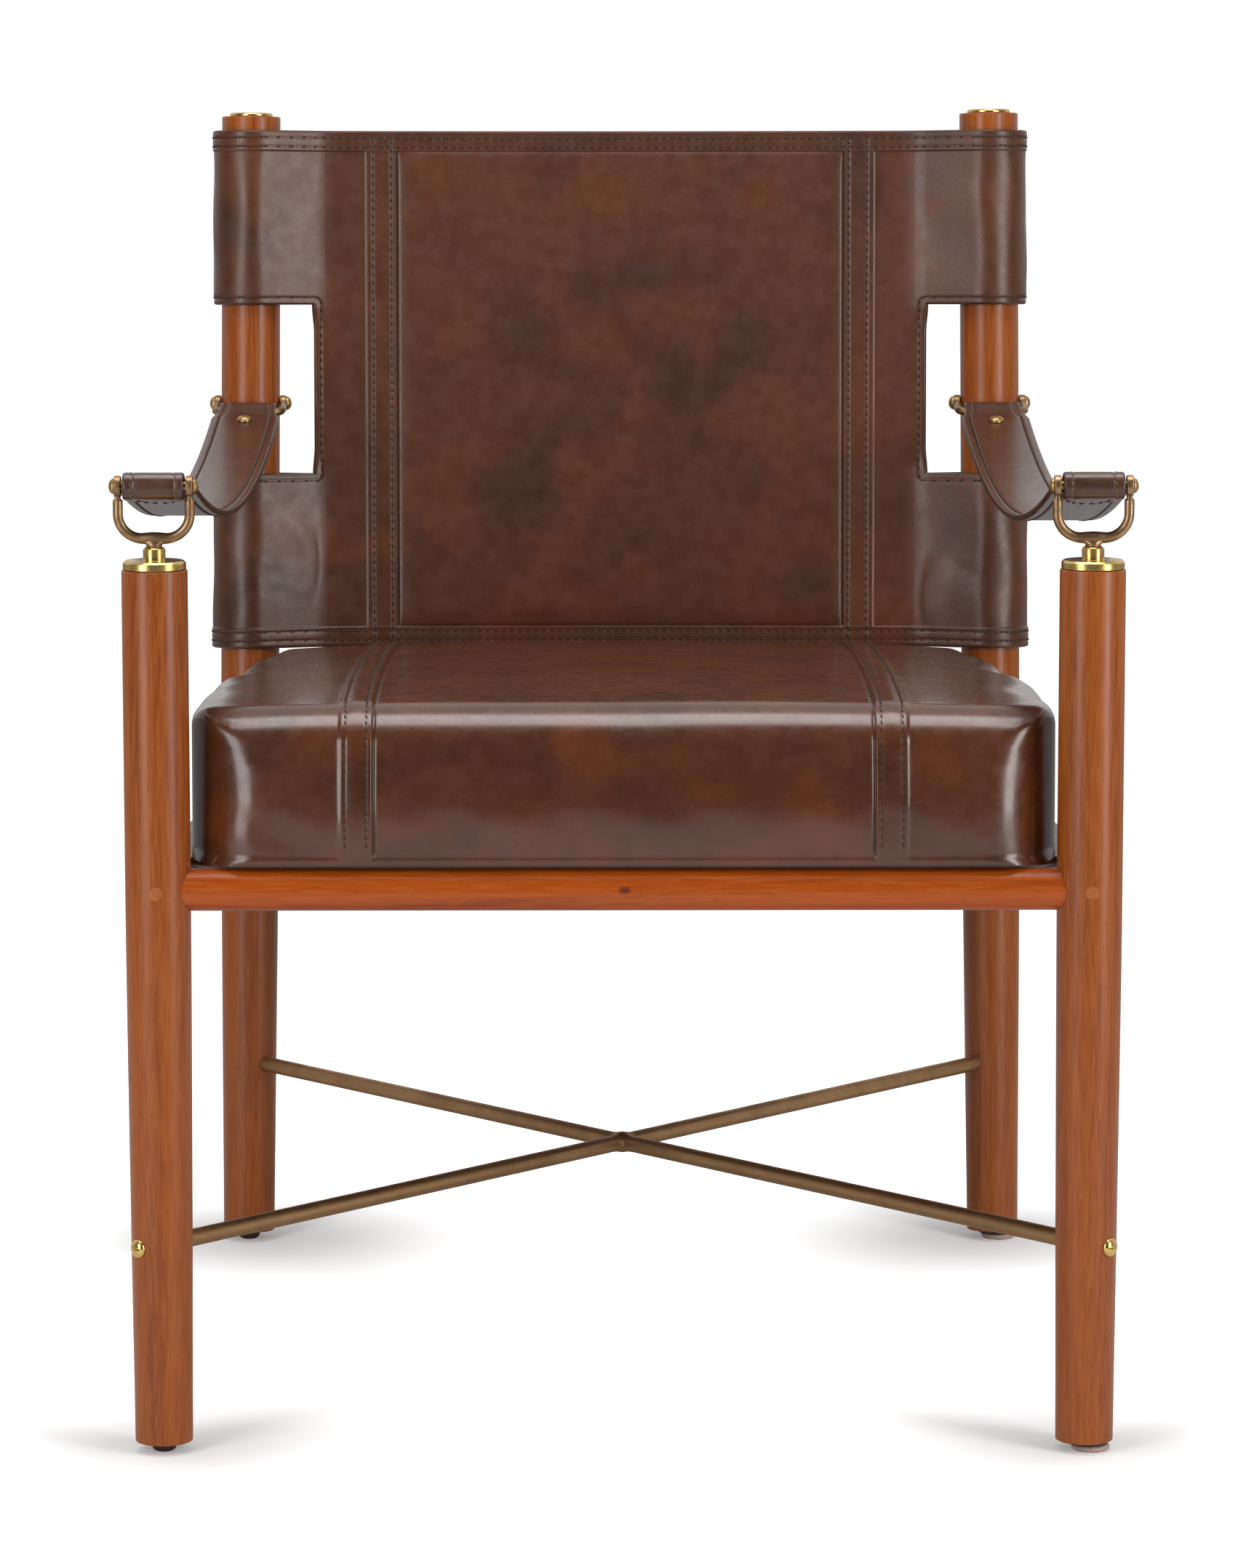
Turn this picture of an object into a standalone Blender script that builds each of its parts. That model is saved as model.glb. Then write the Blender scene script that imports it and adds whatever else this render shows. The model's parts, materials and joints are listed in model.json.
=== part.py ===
"""Campaign lounge chair: a turned hardwood frame that carries a slung leather back,
a loose leather seat cushion on a leather deck, and strap arms hung between brass
shackles on the front legs and brass brackets on the rear posts.

Metres, +Z up, the chair faces -Y, and left and right are those of someone who
looks at its front. The origin is on the floor, under the middle of the chair.
"""
import math

import bmesh
import bpy
from mathutils import Matrix, Vector

# Clearances
GAP = 0.0003
OVERRUN = 0.002
MERGE = 0.00001

# Front legs
LEG_HALF_SPACING = 0.2894
LEG_RADIUS = 0.0204
LEG_FOOT_RADIUS = 0.0180
LEG_HEIGHT = 0.5563
EDGE_EASE = 0.0010

# Rear posts, whose heights are measured along the raked post
POST_HALF_SPACING = 0.2746
POST_RADIUS = 0.0212
POST_FOOT_RADIUS = 0.0185
LEFT_POST_HEIGHT = 0.8234
RIGHT_POST_HEIGHT = 0.8257
POST_HEIGHTS = {-1: LEFT_POST_HEIGHT, 1: RIGHT_POST_HEIGHT}
POST_FOOT_DEPTH = 0.6305
POST_RAKE = math.radians(2.89)
POST_LEAN = math.radians(0.453)
TAPER_EXPONENT = 1.3
TAPER_STEPS = 5

# Rails, tenons and the pegs that lock the cross rails
RAIL_HEIGHT = 0.3568
REAR_RAIL_HEIGHT = 0.3262
RAIL_RADIUS = 0.0133
TENON_RADIUS = 0.0080
CROSS_TENON_PAST_AXIS = 0.0090
SIDE_TENON_SHORT_OF_AXIS = 0.0105
PEG_RADIUS = 0.0042
PEG_PROUD = 0.0002

# Feet: a plain glide under the left legs, a thinner one on a felt pad under the right
FOOT_LIFT = 0.0065
GLIDE_RADIUS = 0.0080
GLIDE_RIM = 0.0026
GLIDE_SOLE_RADIUS = 0.0050
PADDED_GLIDE_RADIUS = 0.0120
GLIDE_STEM_RADIUS = 0.0022
GLIDE_STEM_LENGTH = 0.0120
PAD_THICKNESS = 0.0036
PAD_RADIUS = 0.0118
PAD_OFFSET = 0.0042

# Post caps
CAP_RADIUS = 0.0155
CAP_HEIGHT = 0.0024
CAP_DISH = 0.0007
CAP_RIM = 0.0022
CAP_STEM_RADIUS = 0.0030
CAP_STEM_LENGTH = 0.0140

# Brass collar and bush on each front leg
COLLAR_RADIUS = 0.0195
COLLAR_HEIGHT = 0.0055
COLLAR_EASE = 0.0014
BUSH_RADIUS = 0.0069
BUSH_HEIGHT = 0.0081
BUSH_EASE = 0.0012
SPIGOT_RADIUS = 0.0062
SPIGOT_LENGTH = 0.0120

# Shackle: a swivelling U with flat eyes
SHANK_RADIUS = 0.0030
SHANK_LENGTH = 0.0420
NECK_RADIUS = 0.0033
NECK_FLARE_RADIUS = 0.0058
NECK_HEIGHT = 0.0021
SHACKLE_BAR_RADIUS = 0.0030
SHACKLE_HALF_WIDTH = 0.0221
SHACKLE_BEND_RADIUS = 0.0150
SHACKLE_PIN_RISE = 0.0321
SHACKLE_SHOULDER = 0.0075
SHACKLE_EYE_RADIUS = 0.0060
SHACKLE_EYE_THICKNESS = 0.0039
SHACKLE_EYE_NECK = 0.0056
SHACKLE_PIN_RADIUS = 0.0045
SHACKLE_JOURNAL_RADIUS = 0.0028
SHACKLE_DOME_RADIUS = 0.0049
SHACKLE_DOME_HEIGHT = 0.0031

# Rear bracket: a plain U that pivots on a pin through the post
BRACKET_PIN_HEIGHT = 0.6156
BRACKET_REACH = 0.0310
BRACKET_DROOP = math.radians(8.4)
BRACKET_BAR_RADIUS = 0.0030
BRACKET_BEND_RADIUS = 0.0075
BRACKET_SHOULDER = 0.0080
BRACKET_EYE_RADIUS = 0.0056
BRACKET_EYE_THICKNESS = 0.0044
BRACKET_EYE_NECK = 0.0056
BRACKET_PIN_RADIUS = 0.0029
BRACKET_DOME_RADIUS = 0.0050
BRACKET_DOME_HEIGHT = 0.0037

# Strap arms
STRAP_THICKNESS = 0.0040
LEFT_STRAP_SAG = 0.0420
RIGHT_STRAP_SAG = 0.0460
STRAP_SAGS = {-1: LEFT_STRAP_SAG, 1: RIGHT_STRAP_SAG}
STRAP_WIDTH = 0.0490
STRAP_FRONT_WIDTH = 0.0356
STRAP_REAR_WIDTH = 0.0320
STRAP_TAPER = 0.0160
STRAP_PLY_GAP = 0.0005
STRAP_JOIN = 0.0160
RIVET_INSETS = {"front": 0.0230, "rear": 0.0330}
STRAP_FRONT_TAB = 0.0420
STRAP_REAR_TAB = 0.0500
STRAP_TIP_WIDTH = 0.0144
STRAP_TIP_TAPER = 0.0150
RIVET_RADIUS = 0.0019
RIVET_HEAD_RADIUS = 0.0049
RIVET_HEAD_HEIGHT = 0.0020

# Cross stretcher
STRETCHER_HEIGHT = 0.1320
STRETCHER_RADIUS = 0.0055
STRETCHER_SEAT = 0.0100
SCREW_RADIUS = 0.0025
SCREW_GRIP = 0.0080
SCREW_HEAD_RADIUS = 0.0060
SCREW_HEAD_HEIGHT = 0.0034
SCREW_SPOT_DEPTH = 0.0011
SCREW_SLOT_WIDTH = 0.0012
SCREW_SLOT_DEPTH = 0.0014

# Slung back, in the plane of the raked posts
SLING_TOP = 0.8132
SLING_BOTTOM = 0.4375
SLING_HEM = 0.0152
SLING_HEM_PROUD = 0.0004
SLING_HALF_THICKNESS = 0.0040
SLING_WALL = 0.0057
SLING_FLARE = math.radians(27)
SLING_BELLY = 0.0120
SLING_EDGE_EASE = 0.0014
WING_LIFT = 0.0004
WING_ROOT = 0.0530
NOTCH_TOP = 0.6872
NOTCH_BOTTOM = 0.5645
NOTCH_HALF_WIDTH = 0.2216
CENTRE_PANEL_HALF_WIDTH = 0.1617
CENTRE_PANEL_THICKNESS = 0.0012

# Seat deck and cushion
DECK_THICKNESS = 0.0035
DECK_SETBACK = 0.0120
DECK_PLATE_SINK = 0.0002
CUSHION_FRONT_REACH = 0.0130
CUSHION_REAR_GAP = 0.0065
CUSHION_LEG_GAP = 0.0022
CUSHION_REAR_SIDE_GAP = 0.0050
CUSHION_HEIGHT = 0.0900
CUSHION_CROWN = 0.0130
CUSHION_END_RADIUS = 0.0260
CUSHION_SIDE_RADIUS = 0.0090
CUSHION_BASE_RADIUS = 0.0040
CUSHION_CORNER_RADIUS = 0.0150
CUSHION_SWELL = 0.0125
SWELL_SKEW = 0.3
CUSHION_BULGE = 0.0050
CHANNEL_FRONT = 0.1565
CHANNEL_SPREAD = 0.0120
CHANNEL_HALF_WIDTH = 0.0055
CHANNEL_DEPTH = 0.0022

# Counts of sides and steps, and shares
LEG_SIDES = 24
RAIL_SIDES = 24
PIN_SIDES = 14
BORE_SIDES = 16
DOME_STEPS = 3
BAR_RESOLUTION = 3
BEND_STEPS = 6
STRAP_STEPS = 20
STRAP_WRAP_STEPS = 10
STRAP_COLUMNS = 1
SLEEVE_STEPS = 12
PANEL_STEPS = 14
CUSHION_LENGTH_SHARES = (0.0, 0.28, 0.54, 0.8)
CUSHION_WIDTH_SHARES = (0.0, 0.32, 0.86)
CUSHION_HEIGHT_SHARES = (0.10, 0.36, 0.66, 0.90)
EDGE_SHARES = (0.15, 0.5, 1)
CROWN_EXPONENT = 2.6
SWELL_EXPONENT = 3
SMOOTH_ANGLE = math.radians(40)

# Places that follow from the sizes above
TAPER_TOP = RAIL_HEIGHT - RAIL_RADIUS
BACK_WRAP_RADIUS = POST_RADIUS + GAP + SLING_WALL
REAR_REACH = (
    POST_FOOT_DEPTH + SLING_TOP * math.sin(POST_RAKE)
    + (BACK_WRAP_RADIUS + SLING_HEM_PROUD) * math.cos(POST_RAKE)
)
LEG_LINE = (LEG_RADIUS + PEG_PROUD - REAR_REACH) / 2
BACK = Matrix.Translation((0, LEG_LINE + POST_FOOT_DEPTH, 0)) @ Matrix.Rotation(-POST_RAKE, 4, "X")
SIDES = {"left": -1, "right": 1}

# Colour, roughness and metallic value of each finish
FINISHES = {
    "mahogany": ((0.33, 0.10, 0.035, 1), 0.34, 0),
    "peg_wood": ((0.45, 0.17, 0.05, 1), 0.40, 0),
    "saddle_leather": ((0.075, 0.032, 0.020, 1), 0.38, 0),
    "aged_brass": ((0.36, 0.25, 0.13, 1), 0.36, 1),
    "bright_brass": ((0.72, 0.52, 0.22, 1), 0.22, 1),
    "glide_plastic": ((0.035, 0.020, 0.015, 1), 0.5, 0),
    "felt": ((0.55, 0.45, 0.36, 1), 0.95, 0),
}

for stale in list(bpy.data.objects):
    bpy.data.objects.remove(stale, do_unlink=True)
PARTS = bpy.data.collections.new("lounge_chair")
CUTTERS = bpy.data.collections.new("cutters")
bpy.context.scene.collection.children.link(PARTS)
bpy.context.scene.collection.children.link(CUTTERS)


# General tools


def add_object(name, mesh, kind, matrix=None, parent=None):
    """Link a mesh as a part with its own material, or as a cutter when kind is None."""
    obj = bpy.data.objects.new(name, mesh)
    obj.parent = parent
    if matrix is not None:
        obj.matrix_basis = matrix
    if kind is None:
        obj.hide_render = True
        obj.display_type = "WIRE"
        CUTTERS.objects.link(obj)
        return obj
    colour, roughness, metallic = FINISHES[kind]
    material = bpy.data.materials.new(f"{name}_{kind}")
    material.use_nodes = True
    shader = material.node_tree.nodes["Principled BSDF"]
    shader.inputs["Base Color"].default_value = colour
    shader.inputs["Roughness"].default_value = roughness
    shader.inputs["Metallic"].default_value = metallic
    mesh.materials.append(material)
    PARTS.objects.link(obj)
    return obj


def smooth(mesh):
    """Shade round faces smooth and keep real edges sharp."""
    mesh.shade_smooth()
    mesh.set_sharp_from_angle(angle=SMOOTH_ANGLE)


def aim(start, end):
    """A frame at start whose local Z points at end."""
    direction = Vector(end) - Vector(start)
    return Matrix.Translation(start) @ direction.to_track_quat("Z", "Y").to_matrix().to_4x4()


def cylinder(name, radius, start, end, kind=None, sides=BORE_SIDES):
    """A capped cylinder between two points."""
    mesh = bpy.data.meshes.new(name)
    length = (Vector(end) - Vector(start)).length
    build = bmesh.new()
    bmesh.ops.create_cone(build, cap_ends=True, segments=sides, radius1=radius, radius2=radius,
                          depth=length, matrix=Matrix.Translation((0, 0, length / 2)))
    build.to_mesh(mesh)
    build.free()
    smooth(mesh)
    return add_object(name, mesh, kind, aim(start, end))


def block(name, low, high, matrix=None, kind=None):
    """A box between two corners of a local frame."""
    mesh = bpy.data.meshes.new(name)
    low, high = Vector(low), Vector(high)
    build = bmesh.new()
    bmesh.ops.create_cube(build, size=1)
    bmesh.ops.scale(build, vec=high - low, verts=build.verts)
    bmesh.ops.translate(build, vec=(low + high) / 2, verts=build.verts)
    build.to_mesh(mesh)
    build.free()
    return add_object(name, mesh, kind, matrix)


def turned(name, profile, kind=None, matrix=None, sides=PIN_SIDES):
    """A turned body: profile is (radius, height) pairs that run down its outer side."""
    mesh = bpy.data.meshes.new(name)
    edges = [(i, i + 1) for i in range(len(profile) - 1)]
    mesh.from_pydata([(radius, 0, height) for radius, height in profile], edges, [])
    obj = add_object(name, mesh, kind, matrix)
    screw = obj.modifiers.new("turning", "SCREW")
    screw.axis = "Z"
    screw.steps = sides
    screw.render_steps = sides
    screw.use_merge_vertices = True
    screw.merge_threshold = MERGE
    return obj


def bar(name, points, radius, matrix=None, kind=None):
    """A round bar along a path, made a mesh so that it can be cut and joined."""
    curve = bpy.data.curves.new(name, "CURVE")
    curve.dimensions = "3D"
    curve.bevel_depth = radius
    curve.bevel_resolution = BAR_RESOLUTION
    curve.use_fill_caps = True
    spline = curve.splines.new("POLY")
    spline.points.add(len(points) - 1)
    for point, place in zip(spline.points, points):
        point.co = (*place, 1)
    return mesh_from_curve(name, curve, matrix, kind)


def slab(name, outline, low, high, matrix=None, kind=None):
    """A flat outline in local XY, filled, and extruded from one height to another."""
    curve = bpy.data.curves.new(name, "CURVE")
    curve.dimensions = "2D"
    curve.fill_mode = "BOTH"
    curve.extrude = (high - low) / 2
    spline = curve.splines.new("POLY")
    spline.use_cyclic_u = True
    spline.points.add(len(outline) - 1)
    for point, (x, y) in zip(spline.points, outline):
        point.co = (x, y, 0, 1)
    raise_up = Matrix.Translation((0, 0, (low + high) / 2))
    return mesh_from_curve(name, curve, (matrix or Matrix()) @ raise_up, kind)


def mesh_from_curve(name, curve, matrix, kind):
    """Turn a curve into a closed mesh with its caps welded on."""
    carrier = bpy.data.objects.new(name, curve)
    CUTTERS.objects.link(carrier)
    evaluated = carrier.evaluated_get(bpy.context.evaluated_depsgraph_get())
    mesh = bpy.data.meshes.new_from_object(evaluated)
    bpy.data.objects.remove(carrier, do_unlink=True)
    build = bmesh.new()
    build.from_mesh(mesh)
    bmesh.ops.remove_doubles(build, verts=build.verts, dist=MERGE)
    bmesh.ops.recalc_face_normals(build, faces=build.faces)
    build.to_mesh(mesh)
    build.free()
    smooth(mesh)
    return add_object(name, mesh, kind, matrix)


def loft(name, sections, kind=None, matrix=None):
    """A closed solid through unlike outlines: each section is a list of 3-D points."""
    count = len(sections[0])
    points = [point for section in sections for point in section]
    faces = [tuple(reversed(range(count)))]
    for level in range(len(sections) - 1):
        base = level * count
        for i in range(count):
            follow = (i + 1) % count
            faces.append((base + i, base + follow, base + count + follow, base + count + i))
    faces.append(tuple(range(len(points) - count, len(points))))
    mesh = bpy.data.meshes.new(name)
    mesh.from_pydata(points, [], faces)
    build = bmesh.new()
    build.from_mesh(mesh)
    bmesh.ops.recalc_face_normals(build, faces=build.faces)
    build.to_mesh(mesh)
    build.free()
    smooth(mesh)
    return add_object(name, mesh, kind, matrix)


def combine(target, operation, *tools):
    """Cut or join a part with other solids, in the given order."""
    for tool in tools:
        modifier = target.modifiers.new(tool.name, "BOOLEAN")
        modifier.operation = operation
        modifier.solver = "EXACT"
        modifier.object = tool


def cut(target, *tools):
    combine(target, "DIFFERENCE", *tools)


def join(target, *tools):
    combine(target, "UNION", *tools)


def keep(target, *tools):
    combine(target, "INTERSECT", *tools)


def arc(centre, radius, start, end, steps):
    """Points of a circular arc in a plane, from one angle to another."""
    angles = [start + (end - start) * i / steps for i in range(steps + 1)]
    return [(centre[0] + radius * math.cos(a), centre[1] + radius * math.sin(a)) for a in angles]


def dome(radius, height, base=0, steps=DOME_STEPS):
    """Profile of a domed head from its pole to its rim."""
    angles = [math.pi / 2 * i / steps for i in range(steps + 1)]
    return [(radius * math.sin(a), base + height * math.cos(a)) for a in angles]


# Where the legs and posts stand


def leg_point(side, height):
    return Vector((side * LEG_HALF_SPACING, LEG_LINE, height))


def post_frame(side):
    """The frame of a rear post: its local Z runs up the post's axis from the floor."""
    lean = Matrix.Rotation(-side * POST_LEAN, 4, "Y")
    return BACK @ Matrix.Translation((side * POST_HALF_SPACING, 0, 0)) @ lean


def post_point(side, height):
    """The point of the post's axis that lies at this height above the floor."""
    along = height / (math.cos(POST_RAKE) * math.cos(POST_LEAN))
    return post_frame(side) @ Vector((0, 0, along))


def tapered_radius(height, full, foot):
    """Radius of a turned leg: full above the rails, swelling in gently to the foot."""
    if height >= TAPER_TOP:
        return full
    return full - (full - foot) * (1 - height / TAPER_TOP) ** TAPER_EXPONENT


def leg_outline(top, full, foot, bottom):
    """Profile of a turned leg from its eased top edge down to its eased foot."""
    profile = [(full - EDGE_EASE, top), (full, top - EDGE_EASE)]
    for step in range(TAPER_STEPS):
        height = TAPER_TOP * (1 - step / TAPER_STEPS)
        profile.append((tapered_radius(height, full, foot), height))
    profile.append((tapered_radius(bottom + EDGE_EASE, full, foot), bottom + EDGE_EASE))
    profile.append((tapered_radius(bottom, full, foot) - EDGE_EASE, bottom))
    return profile


# Legs, posts and their sockets


def front_leg(name, side):
    """A front leg, bored from the top for the collar's spigot and the shackle's shank."""
    spigot = SPIGOT_RADIUS + GAP
    shank = SHANK_RADIUS + GAP
    spigot_floor = LEG_HEIGHT - SPIGOT_LENGTH - GAP
    shank_floor = LEG_HEIGHT + COLLAR_HEIGHT + BUSH_HEIGHT - SHANK_LENGTH
    profile = [(0, shank_floor), (shank, shank_floor), (shank, spigot_floor),
               (spigot, spigot_floor), (spigot, LEG_HEIGHT)]
    profile += leg_outline(LEG_HEIGHT, LEG_RADIUS, LEG_FOOT_RADIUS, FOOT_LIFT)
    profile.append((0, FOOT_LIFT))
    return turned(name, profile, "mahogany", Matrix.Translation(leg_point(side, 0)), LEG_SIDES)


def rear_post(name, side):
    """A raked rear post, bored from the top for its cap and cut level at the foot."""
    stem = CAP_STEM_RADIUS + GAP
    top = POST_HEIGHTS[side]
    stem_floor = top - CAP_STEM_LENGTH - GAP
    profile = [(0, stem_floor), (stem, stem_floor), (stem, top)]
    profile += leg_outline(top, POST_RADIUS, POST_FOOT_RADIUS, 0)
    profile.append((0, 0))
    post = turned(name, profile, "mahogany", post_frame(side), LEG_SIDES)
    foot = post_point(side, 0)
    reach = Vector((POST_RADIUS, POST_RADIUS, POST_RADIUS)) * 2
    cut(post, block(f"{name}_foot_cut", foot - reach,
                    Vector((foot.x + reach.x, foot.y + reach.y, FOOT_LIFT))))
    return post


LEGS = {}
POSTS = {}
for side_name, side in SIDES.items():
    LEGS[side_name] = front_leg(f"front_leg_{side_name}", side)
    POSTS[side_name] = rear_post(f"rear_post_{side_name}", side)


def leg_envelopes(height, tag):
    """Cutters as wide as a leg, a gap larger, that cope the ends of the rails."""
    reach = Vector((0, 0, RAIL_RADIUS * 2))
    tools = {}
    for side_name, side in SIDES.items():
        middle = leg_point(side, height)
        tools[f"leg_{side_name}"] = cylinder(f"{tag}_leg_{side_name}", LEG_RADIUS + GAP,
                                             middle - reach, middle + reach, sides=LEG_SIDES)
        middle = post_point(side, REAR_RAIL_HEIGHT)
        axis = (post_point(side, LEG_HEIGHT) - middle).normalized() * reach.z
        tools[f"post_{side_name}"] = cylinder(f"{tag}_post_{side_name}", POST_RADIUS + GAP,
                                              middle - axis, middle + axis, sides=LEG_SIDES)
    return tools


ENVELOPES = leg_envelopes(RAIL_HEIGHT, "cope")


def rail(name, start, end, tenon_reach, copes, bored):
    """A round rail between two leg axes, coped to the legs, with a round tenon each end.

    tenon_reach is how far each tenon runs past the leg's axis, or stops short of it.
    """
    along = (end - start).normalized()
    obj = cylinder(name, RAIL_RADIUS, start, end, "mahogany", RAIL_SIDES)
    cut(obj, *copes)
    join(obj, cylinder(f"{name}_tenon", TENON_RADIUS, start - along * tenon_reach,
                       end + along * tenon_reach, sides=PIN_SIDES))
    bore_reach = tenon_reach + GAP
    for leg in bored:
        cut(leg, cylinder(f"{name}_{leg.name}_bore", TENON_RADIUS + GAP,
                          start - along * bore_reach, end + along * bore_reach, sides=PIN_SIDES))
    return obj


def peg(name, centre, outward, full_radius, leg, cross_rail):
    """A dowel from the leg's face through the tenon, its end dressed round with the leg."""
    inner = centre - outward * (TENON_RADIUS + GAP)
    outer = centre + outward * (full_radius + OVERRUN)
    obj = cylinder(name, PEG_RADIUS, inner, outer, "peg_wood", PIN_SIDES)
    up = Vector((0, 0, RAIL_RADIUS))
    keep(obj, cylinder(f"{name}_dressing", full_radius + PEG_PROUD, centre - up, centre + up,
                       sides=LEG_SIDES))
    bore = cylinder(f"{name}_bore", PEG_RADIUS + GAP, inner - outward * GAP, outer, sides=PIN_SIDES)
    cut(leg, bore)
    cut(cross_rail, bore)
    return obj


front_rail = rail("front_rail", leg_point(-1, RAIL_HEIGHT), leg_point(1, RAIL_HEIGHT),
                  CROSS_TENON_PAST_AXIS, (ENVELOPES["leg_left"], ENVELOPES["leg_right"]),
                  LEGS.values())
rear_rail = rail("rear_rail", post_point(-1, REAR_RAIL_HEIGHT), post_point(1, REAR_RAIL_HEIGHT),
                 CROSS_TENON_PAST_AXIS, (ENVELOPES["post_left"], ENVELOPES["post_right"]),
                 POSTS.values())
for side_name, side in SIDES.items():
    rail(f"side_rail_{side_name}", leg_point(side, RAIL_HEIGHT), post_point(side, REAR_RAIL_HEIGHT),
         -SIDE_TENON_SHORT_OF_AXIS, (ENVELOPES[f"leg_{side_name}"], ENVELOPES[f"post_{side_name}"]),
         (LEGS[side_name], POSTS[side_name]))
    peg(f"front_peg_{side_name}", leg_point(side, RAIL_HEIGHT), Vector((0, -1, 0)), LEG_RADIUS,
        LEGS[side_name], front_rail)
    peg(f"rear_peg_{side_name}", post_point(side, REAR_RAIL_HEIGHT), Vector((0, 1, 0)), POST_RADIUS,
        POSTS[side_name], rear_rail)


# Feet


def glide(name, foot, leg, pad_name=None):
    """A turned glide with a nail stem: round-soled, or flat on a felt pad."""
    top = FOOT_LIFT - GAP
    stem_top = FOOT_LIFT + GLIDE_STEM_LENGTH
    radius = PADDED_GLIDE_RADIUS if pad_name else GLIDE_RADIUS
    profile = [(0, stem_top), (GLIDE_STEM_RADIUS, stem_top), (GLIDE_STEM_RADIUS, top), (radius, top)]
    if pad_name:
        base = PAD_THICKNESS + GAP
        profile += [(radius, base), (0, base)]
    else:
        rim = top - GLIDE_RIM
        between = (GLIDE_RADIUS * 2 + GLIDE_SOLE_RADIUS) / 3
        profile += [(radius, rim), (between, rim / 3), (GLIDE_SOLE_RADIUS, 0), (0, 0)]
    place = Vector((foot.x + (PAD_OFFSET / 2 if pad_name else 0), foot.y, 0))
    turned(name, profile, "glide_plastic", Matrix.Translation(place), PIN_SIDES)
    up = Vector((0, 0, 1))
    cut(leg, cylinder(f"{name}_bore", GLIDE_STEM_RADIUS + GAP, place + up * (FOOT_LIFT - OVERRUN),
                      place + up * (stem_top + GAP)))
    if pad_name:
        pad = Vector((foot.x + PAD_OFFSET, foot.y, 0))
        cylinder(pad_name, PAD_RADIUS, pad, pad + up * PAD_THICKNESS, "felt", PIN_SIDES)


for side_name, side in SIDES.items():
    padded = side_name == "right"
    glide(f"front_glide_{side_name}", leg_point(side, 0), LEGS[side_name],
          f"front_felt_pad_{side_name}" if padded else None)
    glide(f"rear_glide_{side_name}", post_point(side, FOOT_LIFT), POSTS[side_name],
          f"rear_felt_pad_{side_name}" if padded else None)


# Post caps


def post_cap(name, side):
    """A dished brass disc with a stem, seated on the end grain of the post."""
    seat = POST_HEIGHTS[side] + GAP
    top = seat + CAP_HEIGHT
    profile = [(0, top - CAP_DISH), (CAP_RADIUS - CAP_RIM, top - CAP_DISH),
               (CAP_RADIUS - EDGE_EASE, top), (CAP_RADIUS, top - EDGE_EASE), (CAP_RADIUS, seat),
               (CAP_STEM_RADIUS, seat), (CAP_STEM_RADIUS, seat - CAP_STEM_LENGTH),
               (0, seat - CAP_STEM_LENGTH)]
    turned(name, profile, "bright_brass", post_frame(side), LEG_SIDES)


# Collars, shackles and their pins

SHACKLE_SEAT = LEG_HEIGHT + GAP + COLLAR_HEIGHT + BUSH_HEIGHT
SHACKLE_BAR_HEIGHT = SHACKLE_SEAT + GAP + NECK_HEIGHT + SHACKLE_BAR_RADIUS
SHACKLE_PIN_HEIGHT = SHACKLE_BAR_HEIGHT + SHACKLE_PIN_RISE
SHACKLE_EYE_PLACE = SHACKLE_HALF_WIDTH + SHACKLE_BAR_RADIUS - SHACKLE_EYE_THICKNESS / 2


def leg_collar(name, side):
    """A turned brass collar with a bush on top, a spigot below and a bore right through."""
    seat = LEG_HEIGHT + GAP
    shoulder = seat + COLLAR_HEIGHT
    top = shoulder + BUSH_HEIGHT
    bore = SHANK_RADIUS + GAP
    bottom = seat - SPIGOT_LENGTH
    profile = [(bore, bottom), (bore, top), (BUSH_RADIUS - BUSH_EASE, top),
               (BUSH_RADIUS, top - BUSH_EASE), (BUSH_RADIUS, shoulder),
               (COLLAR_RADIUS - COLLAR_EASE, shoulder), (COLLAR_RADIUS, shoulder - COLLAR_EASE),
               (COLLAR_RADIUS, seat), (SPIGOT_RADIUS, seat), (SPIGOT_RADIUS, bottom),
               (bore, bottom)]
    turned(name, profile, "bright_brass", Matrix.Translation(leg_point(side, 0)), LEG_SIDES)


def u_path(half_width, depth, bend, open_end):
    """Centre line of a U in a plane: (across, along), from one open end to the other.

    depth is how far the cross bar lies along -Z from the eyes, open_end how far
    along the arms begin.
    """
    right = arc((half_width - bend, bend - depth), bend, 0, -math.pi / 2, BEND_STEPS)
    left = arc((bend - half_width, bend - depth), bend, -math.pi / 2, -math.pi, BEND_STEPS)
    path = [(half_width, -open_end)] + right + left + [(-half_width, -open_end)]
    return [(across, 0, along) for across, along in path]


def eye(name, frame, place, radius, thickness, neck, neck_reach):
    """A flat eye and its neck, facing along X, at a distance across a frame."""
    half = Vector((thickness / 2, 0, 0))
    middle = frame @ Vector((place, 0, 0))
    turn = frame.to_3x3()
    ring = cylinder(f"{name}_ring", radius, middle - turn @ half, middle + turn @ half)
    low = (place - thickness / 2 + GAP, -neck / 2, -neck_reach)
    high = (place + thickness / 2 - GAP, neck / 2, 0)
    return ring, block(f"{name}_neck", low, high, frame)


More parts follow.
